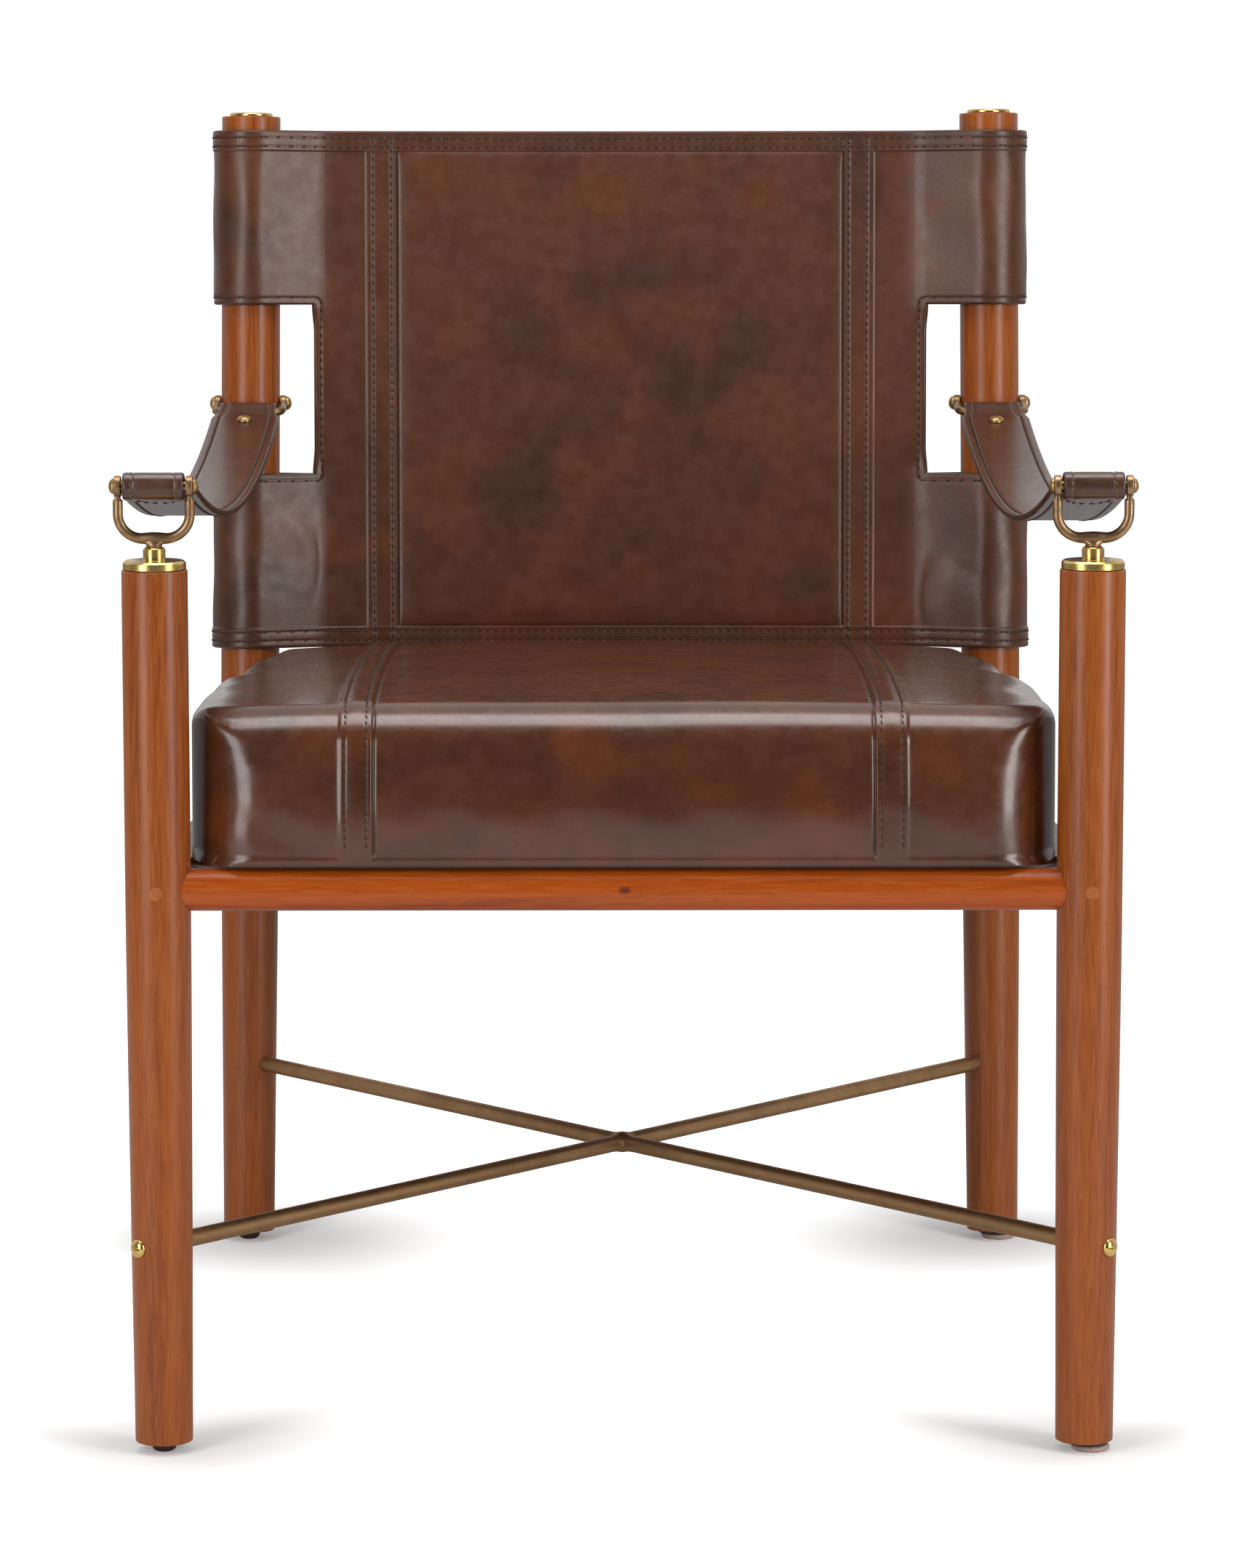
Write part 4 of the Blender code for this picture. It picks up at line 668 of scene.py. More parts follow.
def post_frame(side):
    """The frame of a rear post: its Z runs up the raked, leaning post from the floor."""
    lean = Matrix.Rotation(-side * POST_LEAN, 4, "Y")
    return BACK @ Matrix.Translation((side * POST_SPACING, 0, 0)) @ lean


def post_point(side, height):
    """The point of a post's axis at a height above the floor."""
    along = height / (math.cos(POST_RAKE) * math.cos(POST_LEAN))
    return placed_points(post_frame(side), [[0, 0, along]])[0]


def tapered_radius(height, full, foot):
    """Full above the rails; below, full less the difference times (1 - height / top)^1.3."""
    return full - (full - foot) * np.maximum(0, 1 - height / TAPER_TOP) ** 1.3


def leg_profile(top, full, foot):
    """A leg's profile from its foot to its top: tapered below the rails and even above them."""
    z = np.concatenate([np.linspace(FOOT_LIFT, TAPER_TOP, 60), np.linspace(TAPER_TOP, top, 40)[1:]])
    flank = [(tapered_radius(h, full, foot), h) for h in z[:-1]]
    return [(0, FOOT_LIFT)] + flank + [(full, top), (0, top)]


def bar_between(name, start, end, radius, finish, sides=64):
    """A plain round bar whose ends are hidden in what it joins."""
    long = float(np.linalg.norm(end - start))
    z = np.linspace(0, long, 40)
    profile = [(0, 0)] + [(radius, h) for h in z] + [(0, long)]
    return turned_piece(name, profile, aim(start, end - start), finish, sides)


def rail(node, start, end, finish):
    """A turned rail between the axes of two legs."""
    stands_for(bar_between(f"{node}_turned", start, end, RAIL_RADIUS, finish), node)


def dressed_peg(node, matrix, radius):
    """A dowel's end dressed round with the leg: its face is the leg's own curve, a hair proud.

    In the frame given, Z is the leg's axis and -Y is outwards.
    """
    rings = np.array([0, 0.3, 0.55, 0.75, 0.88, 0.95, 0.985, 1, 1, 0]) * PEG_RADIUS
    drop = np.array([0, 0, 0, 0, 0, 0.00003, 0.00012, 0.0004, 0.006, 0.006])
    angle = np.arange(48) * 2 * math.pi / 48
    x, z = rings[:, None] * np.cos(angle), rings[:, None] * np.sin(angle)
    y = -(np.sqrt((radius + 0.0002) ** 2 - x ** 2) - drop[:, None])
    points = placed_points(matrix, np.stack([x, y, z], axis=-1).reshape(-1, 3))
    peg = piece(f"{node}_dressed", points, [quads(numbered(x), True)], PEG_WOOD)
    stands_for(weld(peg), node)


for side_name, side in SIDES.items():
    leg = turned_piece(f"front_leg_{side_name}_turned",
                       leg_profile(LEG_HEIGHT, LEG_RADIUS, LEG_FOOT),
                       Matrix.Translation(leg_point(side, 0)), LEG_WOOD[side], 96,
                       0.0010)
    stands_for(leg, f"front_leg_{side_name}")
    post = turned_piece(f"rear_post_{side_name}_turned",
                        leg_profile(POST_HEIGHT[side], POST_RADIUS, POST_FOOT), post_frame(side),
                        POST_WOOD[side], 96, 0.0010)
    stands_for(post, f"rear_post_{side_name}")
    rail(f"side_rail_{side_name}", leg_point(side, RAIL_HEIGHT), post_point(side, REAR_RAIL_HEIGHT),
         SIDE_RAIL_WOOD)
    in_leg = Matrix.Translation(leg_point(side, RAIL_HEIGHT))
    dressed_peg(f"front_peg_{side_name}", in_leg, LEG_RADIUS)
    in_post = (Matrix.Translation(post_point(side, REAR_RAIL_HEIGHT))
               @ Matrix.Rotation(-POST_RAKE, 4, "X") @ Matrix.Rotation(math.pi, 4, "Z"))
    dressed_peg(f"rear_peg_{side_name}", in_post, POST_RADIUS)
rail("front_rail", leg_point(-1, RAIL_HEIGHT), leg_point(1, RAIL_HEIGHT), CROSS_RAIL_WOOD)
rail("rear_rail", post_point(-1, REAR_RAIL_HEIGHT), post_point(1, REAR_RAIL_HEIGHT),
     CROSS_RAIL_WOOD)


# Feet: glides, and felt pads under the two feet on the right, both set a little off the axis

PAD_PROFILE = [(0, 0), (0.0110, 0), (0.0119, 0.0010), (0.0119, 0.0026), (0.0110, 0.0036),
               (0, 0.0036)]
GLIDE_PROFILE = [(0, 0), (0.0050, 0), (0.0070, 0.0012), (0.0080, 0.0036), (0.0080, 0.0066),
                 (0, 0.0066)]
THIN_GLIDE_PROFILE = [(0, 0.0038), (0.0120, 0.0038), (0.0120, 0.0066), (0, 0.0066)]
THIN_GLIDE_SHIFT = 0.0021
PAD_SHIFT = 0.0042

for end in ("front", "rear"):
    for side_name, side in SIDES.items():
        foot = leg_point(side, 0) if end == "front" else post_point(side, FOOT_LIFT) * (1, 1, 0)
        padded = side > 0
        shift = Matrix.Translation(foot + (THIN_GLIDE_SHIFT if padded else 0, 0, 0))
        profile = THIN_GLIDE_PROFILE if padded else GLIDE_PROFILE
        glide = turned_piece(f"{end}_glide_{side_name}_moulded", profile, shift, GLIDE,
                             48, 0.0006)
        stands_for(glide, f"{end}_glide_{side_name}")
        if padded:
            shift = Matrix.Translation(foot + (PAD_SHIFT, 0, 0))
            pad = turned_piece(f"{end}_felt_pad_worn", PAD_PROFILE, shift, FELT, 48, 0.0005)
            stands_for(pad, f"{end}_felt_pad_right")


# Brass: caps, collars, shackles, brackets, pins, rods and screws

COLLAR_SEAT = LEG_HEIGHT + 0.0003
COLLAR_TOP = COLLAR_SEAT + 0.0055
BUSH_TOP = COLLAR_TOP + 0.0081
PIN_HEIGHT = 0.6077
BRACKET_ALONG_POST = 0.6156
BRACKET_TURN = math.radians(8.4) - math.pi / 2
ARM_REACH = 0.0080
SHACKLE_U = {"half_width": 0.0221, "depth": 0.0321, "bend": 0.0150, "bar": 0.0031,
             "swell": 0.0008, "boss": (0.0222, 0.0065, 0.0021)}
BRACKET_U = {"half_width": 0.0237, "depth": 0.0310, "bend": 0.0075, "bar": 0.0030,
             "swell": 0, "boss": (0.0237, 0.0058, 0.0022)}
STEM_BOTTOM = BUSH_TOP + 0.0003


def dome_profile(radius, height, seat, skirt):
    """Half of a domed head, from its pole to the axis below: a quarter ellipse on a short skirt."""
    t = np.linspace(0, math.pi / 2, 12)
    rim = list(zip(radius * np.sin(t), seat + height * np.cos(t)))
    under = [(radius * share, seat - 0.0001) for share in (0.97, 0.6)]
    return rim + under + [(radius * 0.6, skirt), (0, skirt)]


def u_line(half_width, depth, bend):
    """A U's middle line (across, along), from one arm's end down round the bends to the other's."""
    turn = np.linspace(0, math.pi / 2, 18)
    arm = np.linspace(-ARM_REACH, bend - depth, 14)[:-1]
    right = np.stack([half_width - bend + bend * np.cos(turn),
                      bend - depth - bend * np.sin(turn)], axis=-1)
    down = np.stack([np.full(13, half_width), arm], axis=-1)
    half = np.concatenate([down, right])
    base = np.linspace(half[-1, 0], -half[-1, 0], 24)[1:-1]
    across = np.stack([base, np.full(22, -depth)], axis=-1)
    return np.concatenate([half, across, half[::-1] * (-1, 1)])


def forged_u(frame_matrix, half_width, depth, bend, bar, swell, boss):
    """Shells of a forged U: a round bar, thicker by a bell at its middle, with a boss on each arm.

    A boss is given by how far across it sits, its radius and half its length.
    """
    line = u_line(half_width, depth, bend)
    run = np.linspace(-1, 1, len(line))
    count = np.arange(len(line))
    ends = rounded_inset(np.minimum(count, count[::-1]) * 0.0006, 0.0011)
    radius = bar - ends * 0.7 + swell * valley(line[:, 0], 0.0075) * (np.abs(run) < 0.5)
    path = np.stack([line[:, 0], 0 * line[:, 0], line[:, 1]], axis=-1)
    points, faces = swept_shell(path, radius, radius, (0, 1, 0))
    parts = [(placed_points(frame_matrix, points), faces)]
    place, round_out, half_long = boss
    profile = [(0, -half_long), (round_out, -half_long), (round_out + 0.0001, 0),
               (round_out, half_long), (0, half_long)]
    for hand in (-1, 1):
        z = np.linspace(-ARM_REACH - 0.002, -round_out * 0.5, 12)
        neck = np.stack([np.full(12, hand * place), 0 * z, z], axis=-1)
        points, faces = swept_shell(neck, half_long * 0.90, 0.0028, (1, 0, 0), power=3.5)
        parts.append((placed_points(frame_matrix, points), faces))
        moved = frame_matrix @ Matrix.Translation((hand * place, 0, 0))
        parts.append(turned_shell(profile, crosswise(moved), 56, 0.0009))
    return parts


def crosswise(matrix, hand=1):
    """A frame turned so that its Z runs along what was its X, or against it."""
    return matrix @ Matrix.Rotation(hand * math.pi / 2, 4, "Y")


def pin_heads(matrix, profile):
    """The same turned head at both ends of a pin that lies along a frame's X."""
    return [turned_shell(profile, crosswise(matrix, hand), 48) for hand in (1, -1)]


def flared_stem(side):
    """A shackle's stem: it flares by a power of 2.4, and towards its top it is forged flat."""
    flare = np.linspace(0, 1, 10)
    profile = list(zip(0.0048 + 0.0062 * flare ** 2.4, STEM_BOTTOM + 0.0042 * flare))
    profile = [(0, STEM_BOTTOM)] + profile + [(0.0085, BUSH_TOP + 0.0056), (0, BUSH_TOP + 0.0076)]
    points, faces = turned_shell(profile, Matrix.Translation(leg_point(side, 0)), 56, 0.0002)
    narrowed = 1 - 0.60 * ramp(points[:, 2], BUSH_TOP + 0.0012, BUSH_TOP + 0.0045)
    points[:, 1] = LEG_LINE + (points[:, 1] - LEG_LINE) * narrowed
    return points, faces


COLLAR = [(0, COLLAR_SEAT), (0.0192, COLLAR_SEAT), (0.0195, COLLAR_SEAT + 0.0003),
          (0.0195, COLLAR_TOP - 0.0014), (0.0181, COLLAR_TOP), (0.0069, COLLAR_TOP),
          (0.0069, BUSH_TOP - 0.0012), (0.0057, BUSH_TOP), (0, BUSH_TOP)]
CAP_SHAPE = [(0, 0), (0.0155, 0), (0.0155, 0.0014), (0.0146, 0.0024), (0.0137, 0.0024),
             (0.0130, 0.0017), (0, 0.0016)]
BARREL = [(0, -0.0202), (0.0030, -0.0202), (0.0030, -0.0174), (0.0045, -0.0174),
          (0.0045, 0.0174), (0.0030, 0.0174), (0.0030, 0.0202), (0, 0.0202)]

for side_name, side in SIDES.items():
    top = POST_HEIGHT[side] + 0.0003
    cap = turned_piece(f"post_cap_{side_name}_dished", [(r, top + z) for r, z in CAP_SHAPE],
                       post_frame(side), BRIGHT_BRASS, 96)
    stands_for(cap, f"post_cap_{side_name}")
    collar = turned_piece(f"leg_collar_{side_name}_turned", COLLAR,
                          Matrix.Translation(leg_point(side, 0)), BRIGHT_BRASS, 96)
    stands_for(collar, f"leg_collar_{side_name}")
    hung = Matrix.Translation(leg_point(side, PIN_HEIGHT))
    shackle = shells(f"shackle_{side_name}_forged",
                     forged_u(hung, **SHACKLE_U) + [flared_stem(side)], AGED_BRASS)
    stands_for(shackle, f"shackle_{side_name}")
    heads = pin_heads(hung, dome_profile(0.0048, 0.0031, 0.0246, 0.0230))
    pin = shells(f"shackle_pin_{side_name}_domed",
                 [turned_shell(BARREL, crosswise(hung), 48)] + heads, PIN_BRASS)
    stands_for(pin, f"shackle_pin_{side_name}")
    pivot = placed_points(post_frame(side), [[0, 0, BRACKET_ALONG_POST]])[0]
    hung = Matrix.Translation(pivot) @ Matrix.Rotation(BRACKET_TURN, 4, "X")
    bracket = shells(f"rear_bracket_{side_name}_forged", forged_u(hung, **BRACKET_U), AGED_BRASS)
    stands_for(bracket, f"rear_bracket_{side_name}")
    heads = pin_heads(hung, dome_profile(0.0050, 0.0037, 0.0262, 0.0222))
    pin = shells(f"rear_bracket_pin_{side_name}_domed", heads, PIN_BRASS)
    stands_for(pin, f"rear_bracket_pin_{side_name}")


def slotted_head(name, place, way):
    """A slotted, domed screw head: rows across it, the two beside the slot held close to its edges.

    Its height is a half ellipse, less the slot's depth between the slot's edges, on a short skirt.
    """
    radius, height, half, deep, skirt = 0.0060, 0.0036, 0.0006, 0.0015, -0.0016
    rows = -radius * np.cos(np.linspace(0, 1.35, 12))
    rows = np.concatenate([rows, [-half - 0.0001, -half, -half + 0.0001]])
    rows = np.concatenate([rows, -rows[::-1]])
    share = np.sin(np.linspace(-math.pi / 2, math.pi / 2, 26))
    reach = np.sqrt(np.maximum(radius ** 2 - rows ** 2, 0))
    x, y = reach[:, None] * share, np.repeat(rows[:, None], 26, axis=1)
    up = height * np.sqrt(1 - np.minimum(np.hypot(x, y) / radius, 1) ** 2)
    up = np.where(np.abs(y) < half, np.minimum(up, height - deep), up)
    top = np.stack([x, y, up], axis=-1)
    base = np.stack([x * 0.96, y * 0.96, np.full_like(x, skirt)], axis=-1)
    table = np.concatenate([top, base[:, ::-1]], axis=1)
    points = placed_points(aim(place, way), table.reshape(-1, 3))
    return weld(piece(name, points, [quads(numbered(table), True)], BRIGHT_BRASS))


CROSSING = np.array([0.0, -0.0117, 0.1320])
ROD_RADIUS = 0.0055
SCREW_TURN = math.radians(5)
BRAZE_REACH = 0.0125
BRAZE_SWELL = 0.0007
BRAZE_BLEND = 0.0008
ROD_ENDS = {(end, name): point_of(side, CROSSING[2])
            for end, point_of in (("front", leg_point), ("rear", post_point))
            for name, side in SIDES.items()}

for (end, side_name), foot in ROD_ENDS.items():
    node = f"{end}_{side_name}"
    full, small = (LEG_RADIUS, LEG_FOOT) if end == "front" else (POST_RADIUS, POST_FOOT)
    rod = bar_between(f"stretcher_rod_{node}_drawn", CROSSING, foot, ROD_RADIUS, ROD_BRASS,
                      48)
    stands_for(rod, f"stretcher_rod_{node}")
    outward = SCREW_TURN * SIDES[side_name] * (1 if end == "front" else -1)
    way = np.array(Matrix.Rotation(outward, 3, "Z")) @ unit(foot - CROSSING)
    seat = foot + way * (tapered_radius(CROSSING[2], full, small) - 0.0001)
    screw = slotted_head(f"stretcher_screw_{node}_slotted", seat, way)
    stands_for(screw, f"stretcher_screw_{node}")


def brazed_crossing():
    """The brazing round the crossing rods: the rods' shapes run into one another with soft fillets.

    Along each rod its radius is the rod's plus a swell times 1 - (s / reach)^2, less 0.2 mm. The
    four distances are joined by a smooth minimum, the log of the sum of e to the minus d over k,
    and the surface is found along rays from the crossing by halving.
    """
    ways = [unit(foot - CROSSING) for foot in ROD_ENDS.values()]
    around, up = np.meshgrid(np.arange(176) * 2 * math.pi / 176,
                             np.linspace(-math.pi / 2, math.pi / 2, 61))
    rays = np.stack([np.cos(around) * np.cos(up), np.sin(around) * np.cos(up), np.sin(up)], axis=-1)

    def outside(t):
        spots = rays * t[..., None]
        total = 0
        for way in ways:
            along = np.clip(spots @ way, 0, BRAZE_REACH)
            radius = ROD_RADIUS + BRAZE_SWELL * (1 - (along / BRAZE_REACH) ** 2) - 0.0002
            apart = np.linalg.norm(spots - along[..., None] * way, axis=-1) - radius
            total = total + np.exp(-apart / BRAZE_BLEND)
        return -BRAZE_BLEND * np.log(total) > 0

    low, high = np.zeros(around.shape), np.full(around.shape, 0.03)
    for _ in range(30):
        middle = (low + high) / 2
        out = outside(middle)
        low, high = np.where(out, low, middle), np.where(out, middle, high)
    points = (rays * low[..., None] + CROSSING).reshape(-1, 3)
    faces = [quads(numbered(around), True)]
    return weld(piece("brazed_crossing", points, faces, ROD_BRASS), 2e-6)


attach(brazed_crossing(), "frame")


# The leather back, worked out in the plane of the raked posts

BACK_EDGE_ROUND = 0.0016
BACK_WALL = 0.0038
LAP = 0.0007
PANEL_PUFF = 0.0021
HEM_LINE = 0.0146
HEM_ROWS = (0.0052, 0.0116)
BAND_ROWS = (0.1667, 0.1800)
BAND_OUTER = 0.1856
NOTCH_ROW = 0.0052
STITCH_PITCH = 0.0059
FLANK_STEPS = 0.20
WING_LENGTH = 0.215
HALF_PATH = 2 * NOTCH_EDGE + WING_LENGTH


def back_outline(u, h):
    """Where the back's outer outline lies, across and backwards, at a path length and a height.

    From the middle of the front to the notch edge the leather follows a shallow belly: its depth is
    the belly times 1 - (x / edge)^2, less half the thickness. Past the edge it runs on a straight
    flank, turned by the flare, to a circle round the post, and comes back in the same way behind.
    A rounded maximum joins belly and flank, and beside the notch the flank is pulled away.
    """
    axis = POST_SPACING - h * math.sin(POST_LEAN)
    apex = axis - SLEEVE_RADIUS / math.sin(SLEEVE_FLARE)
    touch = axis - SLEEVE_RADIUS * math.sin(SLEEVE_FLARE)
    behind = u > HALF_PATH / 2
    w = np.where(behind, HALF_PATH - u, u)
    t = np.clip((w - NOTCH_EDGE) / (WING_LENGTH / 2), 0, 1)
    x = np.where(w <= NOTCH_EDGE, w, NOTCH_EDGE + (touch - NOTCH_EDGE) * t / FLANK_STEPS)
    belly = BACK_BELLY * (1 - (x / NOTCH_EDGE) ** 2)
    clear = np.maximum(h - NOTCH_BOTTOM, 0) * np.maximum(NOTCH_TOP - h, 0)
    to_end = np.minimum(np.abs(h - NOTCH_BOTTOM), np.abs(NOTCH_TOP - h))
    pull = 0.012 * ramp(to_end, 0, 0.03) * (clear > 0)
    flank = (x - apex) * math.tan(SLEEVE_FLARE) - pull
    front = softer_max(BACK_HALF_THICKNESS - belly, flank, 0.004)
    rear = softer_max(BACK_HALF_THICKNESS + belly, flank, 0.004)
    y = np.where(behind, rear, -front)
    turn = (math.pi / 2 - SLEEVE_FLARE
            + (math.pi / 2 + SLEEVE_FLARE) * (t - FLANK_STEPS) / (1 - FLANK_STEPS))
    on_arc = t > FLANK_STEPS
    x = np.where(on_arc, axis - SLEEVE_RADIUS * np.cos(turn), x)
    y = np.where(on_arc, np.where(behind, 1, -1) * SLEEVE_RADIUS * np.sin(turn), y)
    return x, y


WING_CREASES = {
    -1: ((0.250, 0.452, 0.029, 0.6, 2.6, -0.0006, 0.0016),
         (0.242, 0.440, 0.052, 0.9, 1.9, -0.0004, 0.0020),
         (0.300, 0.500, 0.075, 2.6, 3.7, 0.0010, 0.0045)),
    1: ((0.262, 0.520, 0.034, 3.3, 5.0, -0.0005, 0.0018),
        (0.310, 0.470, 0.086, 2.5, 3.6, 0.0010, 0.0048),
        (0.246, 0.716, 0.030, 3.4, 5.2, -0.0004, 0.0018)),
}


def creases(w, h, side):
    """Worn creases and soft folds in the wings: bells across arcs, faded at the arcs' ends.

    Each entry is the circle's middle and radius, the arc's two angles, its height and its width.
    """
    total = 0
    for across, up, radius, start, end, height, width in WING_CREASES[side]:
        off = np.hypot(w - across, h - up) - radius
        angle = np.mod(np.arctan2(h - up, w - across), 2 * math.pi)
        fade = ramp(angle, start, start + 0.4) * (1 - ramp(angle, end - 0.4, end))
        total = total + height * valley(off, width) * fade
    return total


def back_margins(u, h):
    """Distances on the back from its middle line, from the nearer hem and from the notch."""
    w = np.minimum(u, HALF_PATH - u)
    over = np.maximum(np.maximum(h - NOTCH_TOP, NOTCH_BOTTOM - h), 0)
    to_notch = np.hypot(np.maximum(NOTCH_EDGE - w, 0), over)
    return w, np.minimum(BACK_TOP - h, h - BACK_BOTTOM), to_notch


def back_relief(u, h, side):
    """How far the back's surface stands out from its outline.

    Hems and seam bands stand proud by a smooth step, the stitch rows sink in as narrow bells, the
    centre panel is puffed between them, and edges fall away as quarter rounds.
    """
    w, to_hem, to_notch = back_margins(u, h)
    ahead = u < HALF_PATH / 2
    rim = np.minimum(to_hem, to_notch)
    d = -rounded_inset(rim, BACK_EDGE_ROUND)
    d += LAP * (1 - ramp(to_hem, HEM_LINE - 0.0004, HEM_LINE + 0.0006))
    in_field = ramp(to_hem, HEM_LINE, HEM_LINE + 0.0008)
    for row in HEM_ROWS:
        d -= 0.0003 * valley(to_hem - row, 0.0010)
    band = ramp(w, PANEL_EDGE, PANEL_EDGE + 0.0010)
    band = band * (1 - ramp(w, BAND_OUTER - 0.0016, BAND_OUTER + 0.0006))
    low_seam = ramp(to_hem, HEM_ROWS[0] - 0.001, HEM_ROWS[0] + 0.001)
    d += LAP * band * np.where(in_field > 0, 1, 0.25) * low_seam
    for row in BAND_ROWS:
        d -= 0.0004 * valley(w - row, 0.0011) * low_seam
    puffed = PANEL_PUFF * (1 - np.exp(-np.maximum(PANEL_EDGE - w, 0) / 0.0035))
    puffed *= 1 - np.exp(-np.maximum(to_hem - HEM_LINE, 0) / 0.004)
    d += np.where(ahead, puffed, 0.4 * puffed)
    d -= 0.0010 * valley(w - PANEL_EDGE, 0.0006) * in_field
    d -= 0.0004 * valley(to_notch - NOTCH_ROW, 0.0010)
    d -= 0.0004 * (1 - ramp(to_notch, NOTCH_ROW - 0.0012, NOTCH_ROW + 0.0006))
    free = ramp(rim, 0.004, 0.03)
    d += 0.0006 * free * ripple(side * w, h, 11, 0.16)
    d += creases(w, h, side) * free
    wing = ramp(w, NOTCH_EDGE - 0.03, NOTCH_EDGE + 0.02)
    d += 0.0007 * wing * free * ripple(side * w, h * 0.6, 5, 0.045)
    return d


def back_place(u, h, side):
    """Points of the back's surface and their outward directions, and those in its own plane."""
    u, h = np.broadcast_arrays(np.asarray(u, float), np.asarray(h, float))
    step = 1e-4
    x, y = back_outline(u, h)
    xa, ya = back_outline(np.maximum(u - step, 0), h)
    xb, yb = back_outline(np.minimum(u + step, HALF_PATH), h)
    way = unit(np.stack([yb - ya, xa - xb], axis=-1))
    d = back_relief(u, h, side)
    flat = np.stack([side * (x + way[..., 0] * d), y + way[..., 1] * d, h], axis=-1)
    out = np.stack([side * way[..., 0], way[..., 1], np.zeros_like(h)], axis=-1)
    turn = np.array(BACK)[:3, :3]
    return placed_points(BACK, flat), out @ turn.T, out


def back_dark_edges_and_groove_shade(u, h):
    """Where the back is darkened: within 3 mm of its edges, and as painted shade in the groove at
    the panel's rim, along the sunk stitch rows and just past the hem's step.
    """
    w, to_hem, to_notch = back_margins(u, h)
    dark_edge_and_groove_shade = 0.8 * (1 - ramp(np.minimum(to_hem, to_notch), 0.0, 0.0030))
    # Painted shade: the groove at the panel's rim, the sunk stitch rows and the foot of the hem's
    # step are darkened.
    dark_edge_and_groove_shade += 0.6 * valley(w - PANEL_EDGE, 0.0007) * (to_hem > HEM_LINE)
    for row in BAND_ROWS:
        dark_edge_and_groove_shade += 0.12 * valley(w - row, 0.0012)
    for row in HEM_ROWS:
        dark_edge_and_groove_shade += 0.12 * valley(to_hem - row, 0.0012)
    dark_edge_and_groove_shade += 0.15 * valley(to_notch - NOTCH_ROW, 0.0012)
    dark_edge_and_groove_shade += 0.3 * valley(to_hem - HEM_LINE - 0.0008, 0.0010)
    return np.clip(dark_edge_and_groove_shade, 0, 1)


def back_piece():
    """The back as one closed shell: an outer skin, and an inner one a wall's thickness inside it.

    Each side is a table of heights by path lengths. Faces are left out where the notches are, and
    strips close the shell along the hems, the notches and the ends of the sleeves.
    """
    spots = (PANEL_EDGE, BAND_OUTER, *BAND_ROWS, NOTCH_EDGE - NOTCH_ROW, NOTCH_EDGE)
    span = places(0, NOTCH_EDGE, 0.008, spots)
    wing = NOTCH_EDGE + np.concatenate([np.linspace(0, 1, 9)[1:] * FLANK_STEPS,
                                        np.linspace(FLANK_STEPS, 1, 20)[1:]]) * WING_LENGTH / 2
    wing = np.concatenate([wing, (HALF_PATH - wing[::-1])[1:]])
    path = np.concatenate([span, wing, HALF_PATH - span[::-1]])
    first, last = len(span) - 1, len(span) + len(wing)
    margins = (0, *HEM_ROWS, HEM_LINE)
    spots = [BACK_TOP - margin for margin in margins] + [BACK_BOTTOM + margin for margin in margins]
    spots += [NOTCH_TOP, NOTCH_BOTTOM, NOTCH_TOP + NOTCH_ROW, NOTCH_BOTTOM - NOTCH_ROW]
    heights = places(BACK_BOTTOM, BACK_TOP, 0.0045, spots)
    below = int(np.argmin(np.abs(heights - NOTCH_BOTTOM)))
    above = int(np.argmin(np.abs(heights - NOTCH_TOP)))
    heights[below], heights[above] = NOTCH_BOTTOM, NOTCH_TOP
    points, faces, marks = [], [], []
    rows, columns = len(heights), len(path)
    grid_u, grid_h = np.meshgrid(path, heights)
    x, y = back_outline(grid_u, grid_h)
    dark_edge_and_groove_shade = back_dark_edges_and_groove_shade(grid_u, grid_h).ravel()
    for number, side in enumerate(SIDES.values()):
        outer, _, out = back_place(grid_u, grid_h, side)
        inner = placed_points(BACK, np.stack([side * x, y, grid_h], axis=-1) - out * BACK_WALL)
        skin = numbered(grid_u) + number * 2 * rows * columns
        lining = skin + rows * columns
        points += [outer.reshape(-1, 3), inner.reshape(-1, 3)]
        marks += [dark_edge_and_groove_shade, np.full(rows * columns, 0.7)]
        wings = skin[:, first:last + 1], lining[:, first:last + 1]
        faces += [quads(skin[:, :first + 1]), quads(skin[:, last:])]
        for table in wings:
            faces += [quads(table[:below + 1]), quads(table[above:])]
        ends = [(0, slice(0, columns)), (rows - 1, slice(0, columns)),
                (below, slice(first, last + 1)), (above, slice(first, last + 1))]
        for row, cut in ends:
            faces.append(quads(np.stack([skin[row, cut], lining[row, cut]])))
        for row in (0, rows - 1):
            front, rear = lining[row, :first + 1], lining[row, last:][::-1]
            faces.append(quads(np.stack([front, rear])))
        for cut in (slice(0, below + 1), slice(above, rows)):
            faces.append(quads(np.stack([lining[cut, first], lining[cut, last]])))
        cut = slice(below, above + 1)
        faces.append(quads(np.stack([skin[cut, first], lining[cut, first], lining[cut, last],
                                     skin[cut, last]])))
    return weld(piece("leather_back", np.concatenate(points), faces, BACK_LEATHER,
                      {"dark_edge_and_groove_shade": np.concatenate(marks)}))


def even_steps(low, high, pitch):
    """Middles of stitches of one pitch that fill a length."""
    count = max(2, int((high - low) / pitch))
    return low + (np.arange(count) + 0.5) * (high - low) / count


